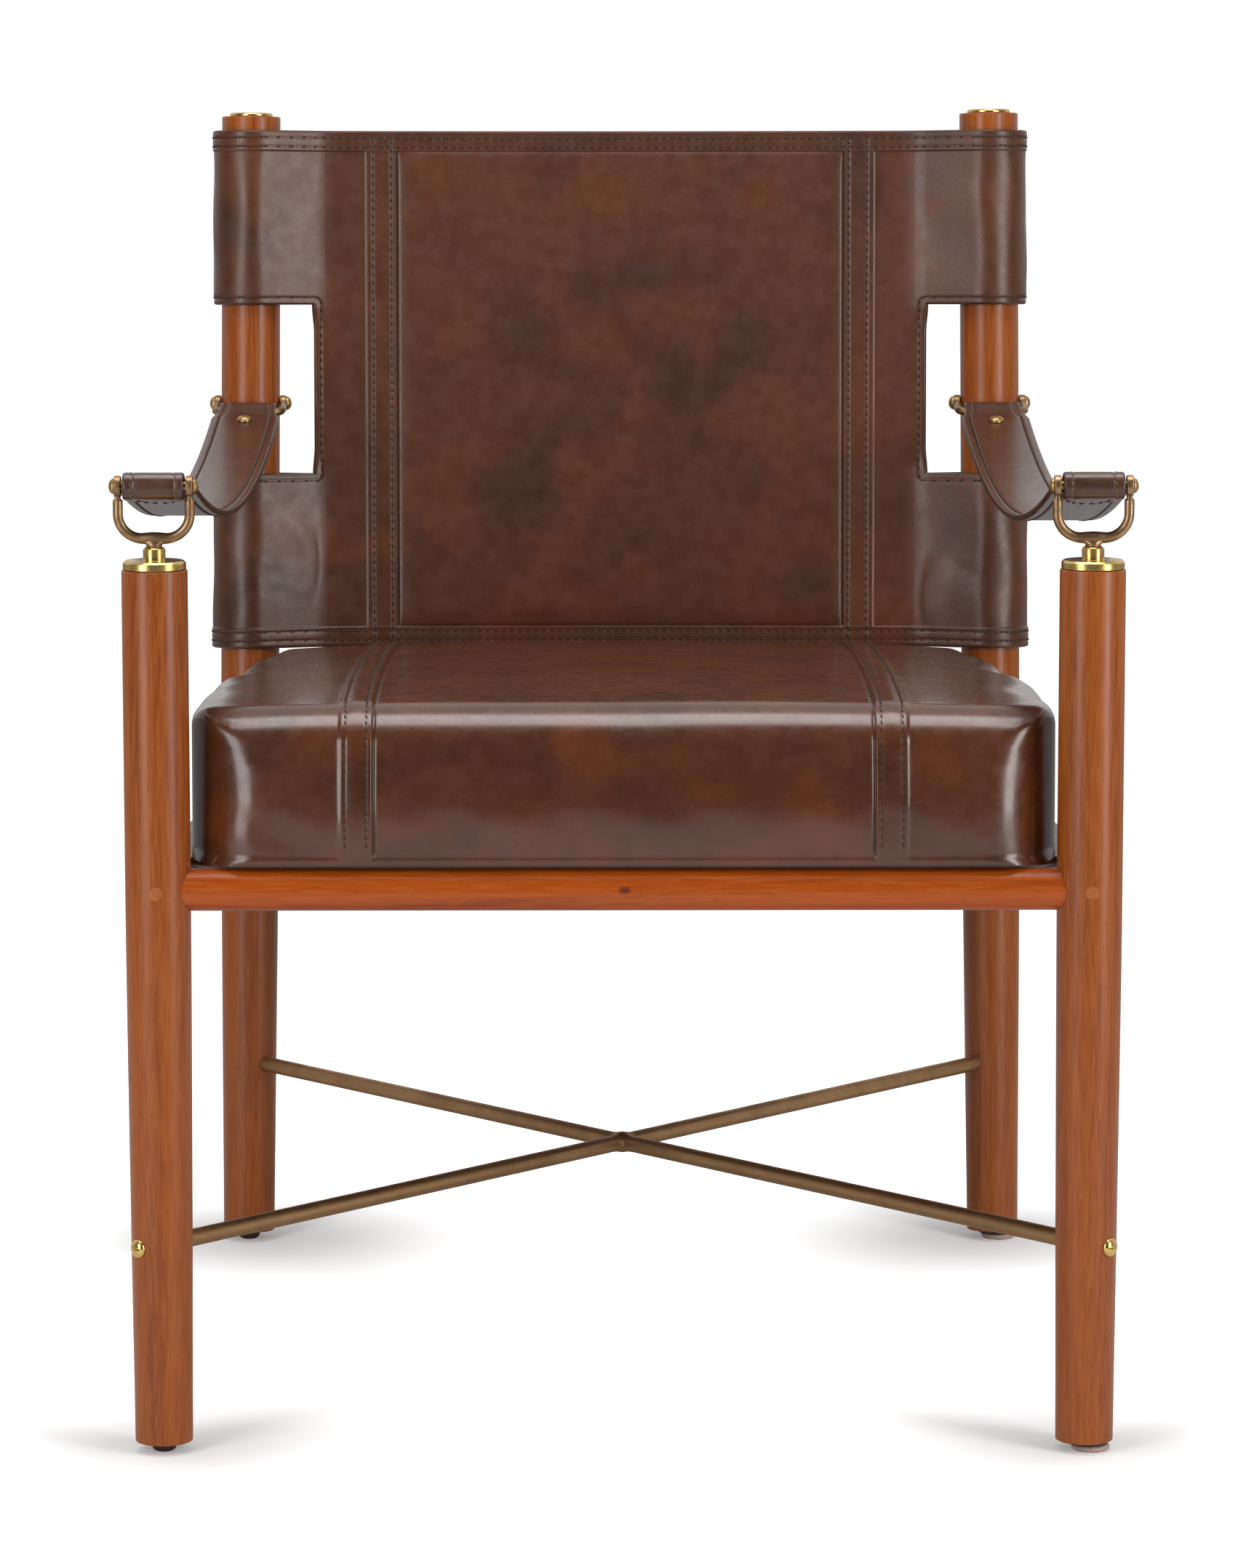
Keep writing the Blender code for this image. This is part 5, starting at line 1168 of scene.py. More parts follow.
def back_rows():
    """The back's rows of stitches: seam bands, hems, and round the notches, in front and behind."""
    rows = []
    beside = NOTCH_EDGE - NOTCH_ROW
    for side in SIDES.values():
        for behind in (False, True):
            h = even_steps(BACK_BOTTOM + HEM_ROWS[0], BACK_TOP - HEM_ROWS[0], STITCH_PITCH)
            for row in BAND_ROWS:
                rows.append(back_place(HALF_PATH - row if behind else row, h, side))
            h = even_steps(NOTCH_BOTTOM - NOTCH_ROW, NOTCH_TOP + NOTCH_ROW, STITCH_PITCH)
            rows.append(back_place(HALF_PATH - beside if behind else beside, h, side))
        for high in (BACK_TOP - HEM_ROWS[0], BACK_TOP - HEM_ROWS[1], BACK_BOTTOM + HEM_ROWS[0],
                     BACK_BOTTOM + HEM_ROWS[1]):
            rows.append(back_place(even_steps(0, HALF_PATH, STITCH_PITCH), high, side))
        path = even_steps(beside, HALF_PATH - beside, STITCH_PITCH)
        for high in (NOTCH_TOP + NOTCH_ROW, NOTCH_BOTTOM - NOTCH_ROW):
            rows.append(back_place(path, high, side))
    return [row[:2] for row in rows]


def puckers(rows):
    """The places half-way between stitches, where the leather is squeezed up into small mounds."""
    return [((spots[:-1] + spots[1:]) / 2, out[:-1] + out[1:]) for spots, out in rows]


leather_back = back_piece()
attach(leather_back, "frame")
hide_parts("back_sling", "back_centre_panel")
sewn_rows = back_rows()
back_thread = stitches("back_stitching", sewn_rows, DARK_THREAD, length=0.0038,
                       radius=0.00055, slant=0.16, lift=0.0002)
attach(back_thread, "frame")
back_puckers = stitches("back_puckers", puckers(sewn_rows), BACK_LEATHER,
                        length=0.0032, radius=0.0011, lift=-0.00112)
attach(back_puckers, "frame")


# The seat deck, sleeved round both side rails

SEAT_RUN = 0.64636
SEAT_PITCH = math.atan2(RAIL_HEIGHT - REAR_RAIL_HEIGHT, SEAT_RUN)
SEAT = Matrix.Translation((0, LEG_LINE, RAIL_HEIGHT)) @ Matrix.Rotation(-SEAT_PITCH, 4, "X")
DECK_FRONT, DECK_REAR = 0.0324, SEAT_RUN - 0.0332
DECK_WALL = 0.0030
DECK_OUTER_RADIUS = RAIL_RADIUS + 0.0036
DECK_HALF_FRONT, DECK_HALF_REAR = LEG_SPACING, POST_SPACING - 0.0025
HEM_DEPTH = 0.0058


def seat_deck():
    """The deck: a strip's cross-section carried from front to rear.

    The section runs round one side rail, straight across under the cushion and round the other
    rail. Its edges are rounded and the front one is rolled under into a hem.
    """
    along = np.concatenate([DECK_FRONT + np.array([0, 0.0004, 0.0015, 0.0035, 0.0060]),
                            np.linspace(DECK_FRONT + 0.01, DECK_REAR - 0.01, 30),
                            DECK_REAR - np.array([0.0015, 0.0004, 0])])
    ease = rounded_inset(np.minimum(along - DECK_FRONT, DECK_REAR - along), 0.0013)
    arc = np.linspace(math.radians(-235), math.radians(90), 48)
    round_the_rail = np.stack([np.cos(arc), np.sin(arc)], axis=-1)
    mirror = (-1, 1)
    loops = []
    for y, inset in zip(along, ease):
        half = DECK_HALF_FRONT + (DECK_HALF_REAR - DECK_HALF_FRONT) * y / SEAT_RUN
        out, into = DECK_OUTER_RADIUS - inset, DECK_OUTER_RADIUS - DECK_WALL + inset
        big, small = round_the_rail * out + (half, 0), round_the_rail * into + (half, 0)
        middle = np.linspace(half, -half, 24)[1:-1]
        top = np.stack([middle, np.full(22, out)], axis=-1)
        hem = HEM_DEPTH * valley(y - DECK_FRONT - 0.0035, 0.0050)
        hem = hem * (1 - ramp(np.abs(middle), half - 0.030, half - 0.018))
        under = np.stack([middle, into - hem], axis=-1)
        loop = np.concatenate([big, top, big[::-1] * mirror, small * mirror, under[::-1],
                               small[::-1]])
        loops.append(np.stack([loop[:, 0], np.full(len(loop), y), loop[:, 1]], axis=-1))
    table = np.array(loops)
    ids = numbered(table)
    half_loop = table.shape[1] // 2
    caps = [quads(np.stack([ids[r, :half_loop], ids[r, half_loop:][::-1]])) for r in (0, -1)]
    return weld(piece("seat_deck", placed_points(SEAT, table.reshape(-1, 3)),
                      [quads(ids, True)] + caps, BACK_LEATHER))


deck = seat_deck()
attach(deck, "frame")
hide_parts("seat_sling")


# The seat cushion

BLOCK_WIDTH = 0.2668
BLOCK_LENGTH = 0.32778
BLOCK_REAR_WIDTH = 0.2456
CUSHION_PLACE = SEAT @ Matrix.Translation((0, 0.31478, CUSHION_BASE + 0.0003))
SEAM_FRONT = 0.1568
SEAM_SPREAD = 0.0045
SEAM_BAND = 0.0212
SEAM_ROWS = (0.0040, 0.0172)
CUSHION_PITCH = 0.0052
SIDE_SWELL = 0.0125
CROWN = 0.0130
TOP_SIDE_ROUND, TOP_END_ROUND = 0.0100, 0.0330
BASE_SIDE_ROUND, BASE_END_ROUND = 0.0045, 0.0035
FRONT_SAG = 0.0028
FRONT_BULGE = 0.0050
CORNER_TUCK = 0.0420
FILLING_STEPS = 20


def skin_of_block(xs, ys, zs):
    """The skin of a block cut by planes: points, faces, and a table of point numbers per side."""
    counts = (len(xs), len(ys), len(zs))
    tables, shapes, triples = {}, {}, []
    for axis in range(3):
        for end, label in ((0, "low"), (counts[axis] - 1, "high")):
            a, b = [k for k in range(3) if k != axis]
            grid = np.meshgrid(np.arange(counts[a]), np.arange(counts[b]), indexing="ij")
            grid = np.stack(grid, axis=-1)
            full = np.full(grid.shape[:2] + (3,), end)
            full[..., a], full[..., b] = grid[..., 0], grid[..., 1]
            shapes[(axis, label)] = grid.shape[:2]
            triples.append(full.reshape(-1, 3))
    every, numbers = np.unique(np.concatenate(triples), axis=0, return_inverse=True)
    numbers, start = numbers.ravel(), 0
    for key, shape in shapes.items():
        size = shape[0] * shape[1]
        tables[key] = numbers[start:start + size].reshape(shape)
        start += size
    points = np.stack([xs[every[:, 0]], ys[every[:, 1]], zs[every[:, 2]]], axis=-1)
    return points, [quads(table) for table in tables.values()], tables


def cushion_shape(block):
    """Where points of the squared block's skin lie on the cushion.

    Across, the sides swell by 1 - depth^p, with p from 3.8 in front to 3 at the rear, and narrow
    to the rear. The lines beside the seams keep their distance from them. The crown is the product
    of 1 - across^2.6 and 1 - depth^2.6. Ends and sides fall away as quarter rounds, the front
    sags a little under its edge and bulges as 4 u (1 - u), and the upright corners are tucked into
    a circle.
    """
    x0, y0, z0 = block.T
    rear = (y0 / BLOCK_LENGTH + 1) / 2
    upper = z0 / CUSHION_HEIGHT
    across = np.abs(x0) / BLOCK_WIDTH
    depth = np.abs(y0) / BLOCK_LENGTH
    half = BLOCK_WIDTH + (BLOCK_REAR_WIDTH - BLOCK_WIDTH) * rear
    squareness = 3.4 - 0.4 * y0 / BLOCK_LENGTH
    swell = (1 - depth ** squareness) - 0.3 * y0 / BLOCK_LENGTH * (1 - depth ** 2)
    half = half + SIDE_SWELL * swell
    x = across * half
    by_seam = np.abs(x0) - SEAM_FRONT
    seam = SEAM_FRONT + SEAM_SPREAD * rear
    near = ramp(by_seam, -0.09, -0.012) * (1 - ramp(by_seam, 0.036, 0.085))
    x = x + near * (seam + by_seam - x)
    y = np.abs(y0)
    side_in, end_in = np.maximum(0, half - x), np.maximum(0, BLOCK_LENGTH - y)
    top_fall = np.maximum(rounded_inset(side_in, TOP_SIDE_ROUND),
                          rounded_inset(end_in, TOP_END_ROUND))
    base_rise = np.maximum(rounded_inset(side_in, BASE_SIDE_ROUND),
                           rounded_inset(end_in, BASE_END_ROUND))
    base_rise = base_rise - FRONT_SAG * ramp(-y0, BLOCK_LENGTH - 0.040, BLOCK_LENGTH - 0.022)
    crown = CROWN * (1 - across ** 2.6) * (1 - depth ** 2.6)
    z = base_rise + (CUSHION_HEIGHT + crown - top_fall - base_rise) * upper
    over = np.stack([np.maximum(0, x - half + CORNER_TUCK),
                     np.maximum(0, y - BLOCK_LENGTH + CORNER_TUCK)], axis=-1)
    reach = np.linalg.norm(over, axis=-1)
    tuck = np.where(reach > CORNER_TUCK, CORNER_TUCK / np.maximum(reach, 1e-9) - 1, 0)
    tuck = tuck[:, None] * over
    x, y = x + tuck[:, 0], y + tuck[:, 1]
    ends = np.maximum(0, 1 - end_in / 0.026)
    y = y + FRONT_BULGE * 4 * upper * (1 - upper) * ends * (1 - across ** 4)
    return np.stack([np.copysign(x, x0), np.copysign(y, y0), z], axis=-1)


def block_lines(half, edge, step):
    """Cutting places across a block: even in the middle and close at its rounded edges."""
    flat = np.linspace(-half + edge, half - edge, max(3, int(2 * (half - edge) / step)))
    rim = half - edge * np.array([0.0, 0.06, 0.16, 0.3, 0.5, 0.74])
    return spaced(np.concatenate([flat, rim, -rim]), 0.0003)


def filled(points, faces):
    """Where a slack cover's points lie once it is blown up from inside: a short run as cloth."""
    probe = piece("filled_cover", points, faces, CUSHION_LEATHER)
    weld(probe, 1e-9)
    cloth = probe.modifiers.new("cover", "CLOTH")
    settings = {"quality": 6, "mass": 0.35, "tension_stiffness": 40, "compression_stiffness": 40,
                "shear_stiffness": 20, "bending_stiffness": 8, "use_pressure": True,
                "uniform_pressure_force": 4}
    for key, value in settings.items():
        setattr(cloth.settings, key, value)
    cloth.settings.effector_weights.gravity = 0
    cloth.point_cache.frame_start, cloth.point_cache.frame_end = 1, FILLING_STEPS
    scene = bpy.context.scene
    for step in range(1, FILLING_STEPS + 1):
        scene.frame_set(step)
    result = probe.evaluated_get(bpy.context.evaluated_depsgraph_get()).to_mesh()
    moved = np.empty(len(result.vertices) * 3)
    result.vertices.foreach_get("co", moved)
    scene.frame_set(1)
    bpy.data.objects.remove(probe)
    return moved.reshape(-1, 3)


def evened(values, faces, times):
    """Values at a mesh's points, each averaged with its neighbours' mean a number of times."""
    corners = np.concatenate(faces)
    ends = np.concatenate([corners[:, [k, (k + 1) % 4]] for k in range(4)])
    ends = np.concatenate([ends, ends[:, ::-1]])
    count = np.bincount(ends[:, 0], minlength=len(values))[:, None]
    for _ in range(times):
        total = np.zeros_like(values)
        np.add.at(total, ends[:, 0], values[ends[:, 1]])
        values = (values + total / count) / 2
    return values


def finer(values, to_a, to_b):
    """A table of vectors read between its entries by cubic curves, one way and then across."""
    def along(table, t):
        count = len(table)
        t = np.clip(t, 0, count - 1 - 1e-9)
        base = np.floor(t).astype(int)
        f = (t - base)[:, None, None]
        p = [table[np.clip(base + k, 0, count - 1)] for k in (-1, 0, 1, 2)]
        square = 2 * p[0] - 5 * p[1] + 4 * p[2] - p[3]
        cube = 3 * p[1] - p[0] - 3 * p[2] + p[3]
        return 0.5 * (2 * p[1] + (p[2] - p[0]) * f + square * f ** 2 + cube * f ** 3)

    values = along(values, to_a)
    return along(values.transpose(1, 0, 2), to_b).transpose(1, 0, 2)


def seam_relief(beside):
    """How the seam stands out beyond its inner edge: a lapped band with two sunk rows."""
    band = ramp(beside, -0.0002, 0.0009)
    band = band * (1 - ramp(beside, SEAM_BAND - 0.0030, SEAM_BAND + 0.0012))
    d = 0.0012 * band - 0.0011 * valley(beside + 0.0006, 0.0007)
    for row in SEAM_ROWS:
        d = d - 0.0004 * valley(beside - row, 0.0010)
    return d + 0.0005 * valley(beside - 0.0105, 0.0045)


COARSE_HEIGHTS = (0, 0.03, 0.1, 0.2, 0.32, 0.44, 0.56, 0.68, 0.79, 0.88, 0.95, 1)
SEAM_CUTS = (-0.0040, -0.0022, -0.0012, -0.0006, 0.0, 0.0006, 0.0012, 0.0024, 0.0031, SEAM_ROWS[0],
             0.0049, 0.0062, 0.0105, 0.0150, 0.0163, SEAM_ROWS[1], 0.0181, 0.0192, 0.0205, 0.0216,
             0.0230, 0.0260)


def cushion_give(cuts):
    """How filling moves the coarse cover, within limits and evened out, and its sides' tables."""
    block, faces, tables = skin_of_block(*cuts)
    rest = cushion_shape(block)
    give = np.zeros_like(rest)
    moved = filled(rest, faces)
    if len(moved) == len(rest):
        give = moved - rest
    give = np.clip(give, (-0.0012, -0.0025, -0.002), (0.0012, 0.0025, 0.005))
    give[:, 2] *= rest[:, 2] > 0.004
    return evened(give, faces, 16), tables


def sewn_lines(places_across, tables, points, ways):
    """Rows of stitches round the cushion's front, top and rear, beside each seam's edge."""
    rows = []
    for row in SEAM_ROWS:
        for sign in (-1, 1):
            column = int(np.argmin(np.abs(places_across - sign * (SEAM_FRONT + row))))
            line = np.concatenate([tables[(1, "low")][column, 1:],
                                   tables[(2, "high")][column, 1:-1],
                                   tables[(1, "high")][column, :0:-1]])
            long = np.linalg.norm(np.diff(points[line], axis=0), axis=1)
            run = np.concatenate([[0], np.cumsum(long)])
            at = even_steps(0.003, run[-1] - 0.003, CUSHION_PITCH)
            rows.append([between(at, run, values[line]) for values in (points, ways)])
    return rows


def cushion_piece():
    """The cushion: the shape of its cover, moved as filling moves it, with its seams on top."""
    coarse = [block_lines(BLOCK_WIDTH, 0.014, 0.0085), block_lines(BLOCK_LENGTH, 0.027, 0.0085),
              np.array(COARSE_HEIGHTS) * CUSHION_HEIGHT]
    give, tables = cushion_give(coarse)
    at_seams = [sign * (SEAM_FRONT + offset) for offset in SEAM_CUTS for sign in (1, -1)]
    beside = [x for x in block_lines(BLOCK_WIDTH, 0.014, 0.0050)
              if not -0.0048 < abs(x) - SEAM_FRONT < 0.0270]
    fine = [np.sort(np.round(np.array(beside + at_seams), 6)),
            block_lines(BLOCK_LENGTH, 0.027, 0.0050), np.linspace(0, 1, 24) * CUSHION_HEIGHT]
    block, faces, fine_tables = skin_of_block(*fine)
    rest = cushion_shape(block)
    shape = rest.copy()
    for key, table in fine_tables.items():
        if key == (2, "low"):
            continue
        to_a, to_b = [np.interp(fine[k], coarse[k], np.arange(len(coarse[k])))
                      for k in range(3) if k != key[0]]
        shape[table] = rest[table] + finer(give[tables[key]], to_a, to_b)
    upper = block[:, 2] / CUSHION_HEIGHT
    free = ramp(upper, 0.02, 0.2)
    shape[:, 2] += 0.0005 * free * ripple(shape[:, 0], shape[:, 1], 3, 0.19)
    low_front = (1 - ramp(upper, 0.30, 0.62)) * free * (block[:, 1] < -BLOCK_LENGTH + 1e-6)
    slanted = shape[:, 2] * 0.5 + shape[:, 0] * 0.4
    shape[:, 1] += 0.0009 * low_front * ripple(shape[:, 0], slanted, 8, 0.05)
    x0 = np.abs(block[:, 0])
    sewn = np.where(np.abs(x0 - BLOCK_WIDTH) < 1e-6, 0, ramp(upper, 0.0, 0.04))
    # Painted shade: the cover is darkened in the groove at each seam's inner edge and, more
    # lightly, along the seam's sunk stitch rows.
    dark_edge_and_groove_shade = 0.9 * valley(x0 - SEAM_FRONT + 0.0006, 0.0009)
    for row in SEAM_ROWS:
        dark_edge_and_groove_shade += 0.15 * valley(x0 - SEAM_FRONT - row, 0.0012)
    points = placed_points(CUSHION_PLACE, shape)
    obj = turn_out(piece("seat_cushion_cover", points, faces, CUSHION_LEATHER,
                         {"dark_edge_and_groove_shade": np.clip(dark_edge_and_groove_shade * sewn, 0, 1)}))
    normals = np.empty(points.size)
    obj.data.vertices.foreach_get("normal", normals)
    normals = normals.reshape(-1, 3)
    points = points + normals * (seam_relief(x0 - SEAM_FRONT) * sewn)[:, None]
    obj.data.vertices.foreach_set("co", points.ravel())
    obj.data.update()
    return obj, sewn_lines(fine[0], fine_tables, points, normals)


cushion, cushion_rows = cushion_piece()
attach(cushion, "cushion_body")
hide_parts("seat_cushion")
cushion_thread = stitches("cushion_stitching", cushion_rows, DARK_THREAD,
                          length=0.0034, radius=0.00048, slant=0.25, lift=0.0002)
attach(cushion_thread, "cushion_body")
cushion_puckers = stitches("cushion_puckers", puckers(cushion_rows), CUSHION_LEATHER,
                           length=0.0028, radius=0.0010, lift=-0.00102)
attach(cushion_puckers, "cushion_body")


# The strap arms

FRONT_TURN_RADIUS = 0.0068
REAR_TURN_RADIUS = 0.0053
REAR_BAR = (0.26973, 0.29164, 0.61027)
PLY = 0.00225
STRAP_JOIN = 0.016
FRONT_TAB, REAR_TAB = 0.042, 0.050
STRAP_WIDTH, FRONT_WIDTH, REAR_WIDTH, TIP_WIDTH = 0.0490, 0.0376, 0.0405, 0.0144
TIP_TAPER = 0.015
STRAP_STEP = 0.0012
STRAP_EDGE_ROUND = 0.0014
STRAP_ROW, TAB_ROW, ROLL_ROW = 0.0060, 0.0046, 0.0052
STRAP_MIDDLE = (LEG_LINE + REAR_BAR[1]) / 2


def strap_share(y):
    """How far along the strap a depth lies, from 0 at the pin to 1 at the rear bar."""
    return (y - LEG_LINE) / (REAR_BAR[1] - LEG_LINE)


def strap_height(y, side):
    """The strap hangs as a parabola: its chord's height less 4 sag s (1 - s)."""
    s = strap_share(y)
    return PIN_HEIGHT + (REAR_BAR[2] - PIN_HEIGHT) * s - 4 * STRAP_SAG[side] * s * (1 - s)


def strap_across(y, side):
    """The strap's middle line runs straight in plan from the pin to the rear bar."""
    return side * (LEG_SPACING + (REAR_BAR[0] - LEG_SPACING) * strap_share(y))


def strap_spot(y, side):
    """The point of the strap's middle line at a depth."""
    return strap_across(y, side), y, strap_height(y, side)


def turn_round(centre, upper, lower, radius, forward):
    """The arc round a bar between the tangents from the lower ply's and the upper ply's points."""
    def tangent(point, sign):
        away = np.subtract(point, centre)
        return math.atan2(away[1], away[0]) + sign * math.acos(radius / math.hypot(*away))

    start, end = tangent(lower, -forward), tangent(upper, forward)
    while (end - start) * forward > 0:
        end -= forward * 2 * math.pi
    angle = np.linspace(start, end, 26)
    return np.array(centre) + radius * np.stack([np.cos(angle), np.sin(angle)], axis=-1)


def half_strap(side, front):
    """One half's line in depth and height from its tab's tip to the middle, and what goes with it.

    That is its widths, its lengths run, and where its tab ends and its turn ends.
    """
    if front:
        centre, way, radius = (LEG_LINE, PIN_HEIGHT), 1, FRONT_TURN_RADIUS
        tab, narrow, widening = FRONT_TAB, FRONT_WIDTH, (0, 0.017)
    else:
        centre, way, radius = REAR_BAR[1:], -1, REAR_TURN_RADIUS
        tab, narrow, widening = REAR_TAB, REAR_WIDTH, (-0.010, 0.011)
    join = centre[0] + way * STRAP_JOIN
    tip = centre[0] + way * tab

    def ply(y, lift):
        return np.stack([y, strap_height(y, side) + lift], axis=-1)

    lower = ply(np.linspace(tip, join, 24), -PLY)
    upper = ply(np.linspace(join, STRAP_MIDDLE, 90), PLY)
    arc = turn_round(centre, upper[0], lower[-1], radius, way)
    line = np.concatenate([lower, arc, upper])
    run = np.concatenate([[0], np.cumsum(np.linalg.norm(np.diff(line, axis=0), axis=1))])
    even = np.linspace(0, run[-1], int(run[-1] / STRAP_STEP))
    line = between(even, run, line)
    for _ in range(4):
        line[1:-1] = line[1:-1] * 0.5 + (line[:-2] + line[2:]) * 0.25
    turned = run[len(lower) + len(arc)]
    width = narrow + (STRAP_WIDTH - narrow) * ramp(even - turned, *widening)
    taper = np.clip(even / TIP_TAPER, 0, 1)
    width = np.where(even < TIP_TAPER, TIP_WIDTH + (narrow - TIP_WIDTH) * taper, width)
    return line, width, even, run[len(lower) - 1], turned


def strap_frame(side, front):
    """Points, outward directions and sideways directions of half a strap, and the rest of it."""
    line, *rest = half_strap(side, front)
    middle = np.stack([strap_across(line[:, 0], side), line[:, 0], line[:, 1]], axis=-1)
    along = unit(np.gradient(middle, axis=0))
    sideways = np.tile([1.0, 0.0, 0.0], (len(line), 1))
    out = unit(np.cross(sideways, along)) * (1 if front else -1)
    return middle, out, unit(np.cross(along, out)), *rest


def all_round(upper, lower):
    """A strip's values from edge to edge over its upper face and back under its lower one."""
    return np.concatenate([upper[0], upper[1][:, ::-1], lower[0][:, 1:], lower[1][:, :0:-1]],
                          axis=1)


def strap_half_piece(side_name, side, front):
    """Half a strap: a rounded strip's section carried along its line, closed at the tab's tip.

    The section's height at a distance in from an edge is half the thickness, less a quarter round
    at the edge, less a narrow bell where the stitches pull the leather in.
    """
    middle, out, sideways, width, even = strap_frame(side, front)[:5]
    insets = np.array([0, 0.0001, 0.0004, 0.0009, 0.0015, 0.0030, 0.0048, 0.0054, 0.0060, 0.0066,
                       0.0072, 0.0095, 0.0135])
    inset = insets * np.minimum(1, width / FRONT_WIDTH)[:, None]
    height = STRAP_THICKNESS / 2 - rounded_inset(inset, STRAP_EDGE_ROUND)
    height = height - 0.0004 * valley(inset - STRAP_ROW, 0.0008)
    across = width[:, None] / 2 - inset
    a = all_round((-across, across), (across, -across))
    b = all_round((height, height), (-height, -height))
    closing = 1 - rounded_inset(even, STRAP_EDGE_ROUND) / STRAP_EDGE_ROUND
    b = b * np.maximum(closing, 0.02)[:, None]
    table = middle[:, None] + sideways[:, None] * a[..., None] + out[:, None] * b[..., None]
    ids = numbered(table)
    # Dark-dyed edges, and painted shade along the sunk stitch row.
    dark_edge_and_groove_shade = 0.9 * (1 - ramp(inset, 0.0, 0.0022)) + 0.4 * valley(inset - STRAP_ROW, 0.0012)
    dark_edge_and_groove_shade = np.clip(all_round((dark_edge_and_groove_shade, dark_edge_and_groove_shade), (dark_edge_and_groove_shade, dark_edge_and_groove_shade)), 0, 1)
    faces = [quads(ids, True), ids[:1, ::-1], ids[-1:, :]]
    return turn_out(piece(f"strap_{'front' if front else 'rear'}_{side_name}", table.reshape(-1, 3),
                          faces, STRAP_LEATHER, {"dark_edge_and_groove_shade": dark_edge_and_groove_shade}))


def strap_rows(side, front, tan):
    """Stitch rows of a half strap: tan round the roll, dark along both faces and round the tab."""
    middle, out, sideways, width, even, tab_end, turned = strap_frame(side, front)
    lift = STRAP_THICKNESS / 2
    if tan:
        runs = [(tab_end + 0.002, turned + 0.004, ROLL_ROW, 1, 0.0030)]
    else:
        runs = [(0.0048, tab_end, TAB_ROW, 1, 0.0046),
                (turned + 0.006, even[-1], STRAP_ROW, 1, 0.0050),
                (turned + 0.030, even[-1], STRAP_ROW, -1, 0.0050)]
    rows = []
    for sign in (-1, 1):
        for low, high, inset, face, pitch in runs:
            at = even_steps(low, high, pitch)
            spots, up, aside = [between(at, even, v) for v in (middle, out, sideways)]
            half = np.interp(at, even, width) / 2
            spots = spots + aside * (sign * (half - inset))[:, None] + up * (face * lift)
            rows.append((spots, up * face))
    if not tan:
        k = int(np.argmin(np.abs(even - TAB_ROW)))
        across = np.linspace(-0.0030, 0.0030, 2)[:, None]
        rows.append((middle[k] + sideways[k] * across + out[k] * lift, np.tile(out[k], (2, 1))))
    return rows


def rivet_profile(half):
    """A rivet: a dome that follows a quarter ellipse, and a shank that ends within the leather."""
    radius, shank, sunk = 0.0054, 0.0020, 0.0012 - half
    t = np.linspace(0, math.pi / 2, 10)
    top = list(zip(radius * np.sin(t), half + 0.0004 + 0.0032 * np.cos(t)))
    return top + [(radius, half + 0.0001), (0.0050, half), (shank, half), (shank, sunk), (0, sunk)]


def strap_rivet(side_name, side, front):
    """The rivet through both plies near a bar, square to the strap there."""
    y = LEG_LINE + 0.0230 if front else REAR_BAR[1] - 0.0305
    slope = (strap_height(y + 1e-3, side) - strap_height(y - 1e-3, side)) / 2e-3
    name = f"{'front' if front else 'rear'}_rivet_{side_name}"
    square = aim(strap_spot(y, side), (0, -slope, 1))
    obj = turned_piece(f"{name}_domed", rivet_profile(0.0044), square, PIN_BRASS,
                       48, 0.0002)
    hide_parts(name)
    return obj


for side_name, side in SIDES.items():
    for front in (True, False):
        end = "front" if front else "rear"
        strap = strap_half_piece(side_name, side, front)
        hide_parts(f"arm_strap_{side_name}")
        dark = stitches(f"strap_stitching_{end}_{side_name}", strap_rows(side, front, False),
                        DARK_THREAD, length=0.0036, radius=0.00034, slant=0.25,
                        lift=0.0001)
        tan = stitches(f"roll_stitching_{end}_{side_name}", strap_rows(side, front, True),
                       TAN_THREAD, length=0.0032, radius=0.00024, slant=0.40,
                       lift=-0.00004)
        rivet = strap_rivet(side_name, side, front)
        for obj in (strap, dark, tan, rivet):
            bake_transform(obj)


# Floor, light and camera

REAR_FEET = 0.292


def pale_floor():
    """A level pale sheet: it glows to the camera, less near the feet, which paints a soft shadow
    round each foot over the real shadows it keeps.
    """
    x, y = np.meshgrid(np.linspace(-9, 9, 10), np.linspace(-7, 14, 10))
    table = np.stack([x, y, 0 * x], axis=-1)
    material, tree, shader, coords = finish_of("studio_floor")
    shader["Base Color"].default_value = (0.80, 0.80, 0.80, 1)
    shader["Roughness"].default_value = 0.9
    shader["Specular IOR Level"].default_value = 0.1
    near = None
    for place in ((-LEG_SPACING, LEG_LINE, 0), (LEG_SPACING, LEG_LINE, 0),
                  (-POST_SPACING, REAR_FEET, 0), (POST_SPACING, REAR_FEET, 0)):
        apart = wire(tree, "ShaderNodeVectorMath", {0: coords, 1: place}, out=1,
                     operation="DISTANCE")
        near = apart if near is None else calc(tree, "MINIMUM", near, apart)
    # Painted shadow: the glow dims from 0.82 to 0.20 within 0.2 m of each foot, darkening the floor
    # round the feet.
    glow_with_painted_foot_shadows = fit(tree, near, 0.0, 0.20, 0.20, 0.82)
    rays = wire(tree, "ShaderNodeLightPath", out=None).outputs
    glow_with_painted_foot_shadows = calc(tree, "MULTIPLY", rays["Is Camera Ray"], glow_with_painted_foot_shadows)
    feed(tree, glow_with_painted_foot_shadows, shader["Emission Strength"])
    shader["Emission Color"].default_value = (1, 1, 1, 1)
    obj = piece("studio_floor", table.reshape(-1, 3), [quads(numbered(table))], material)


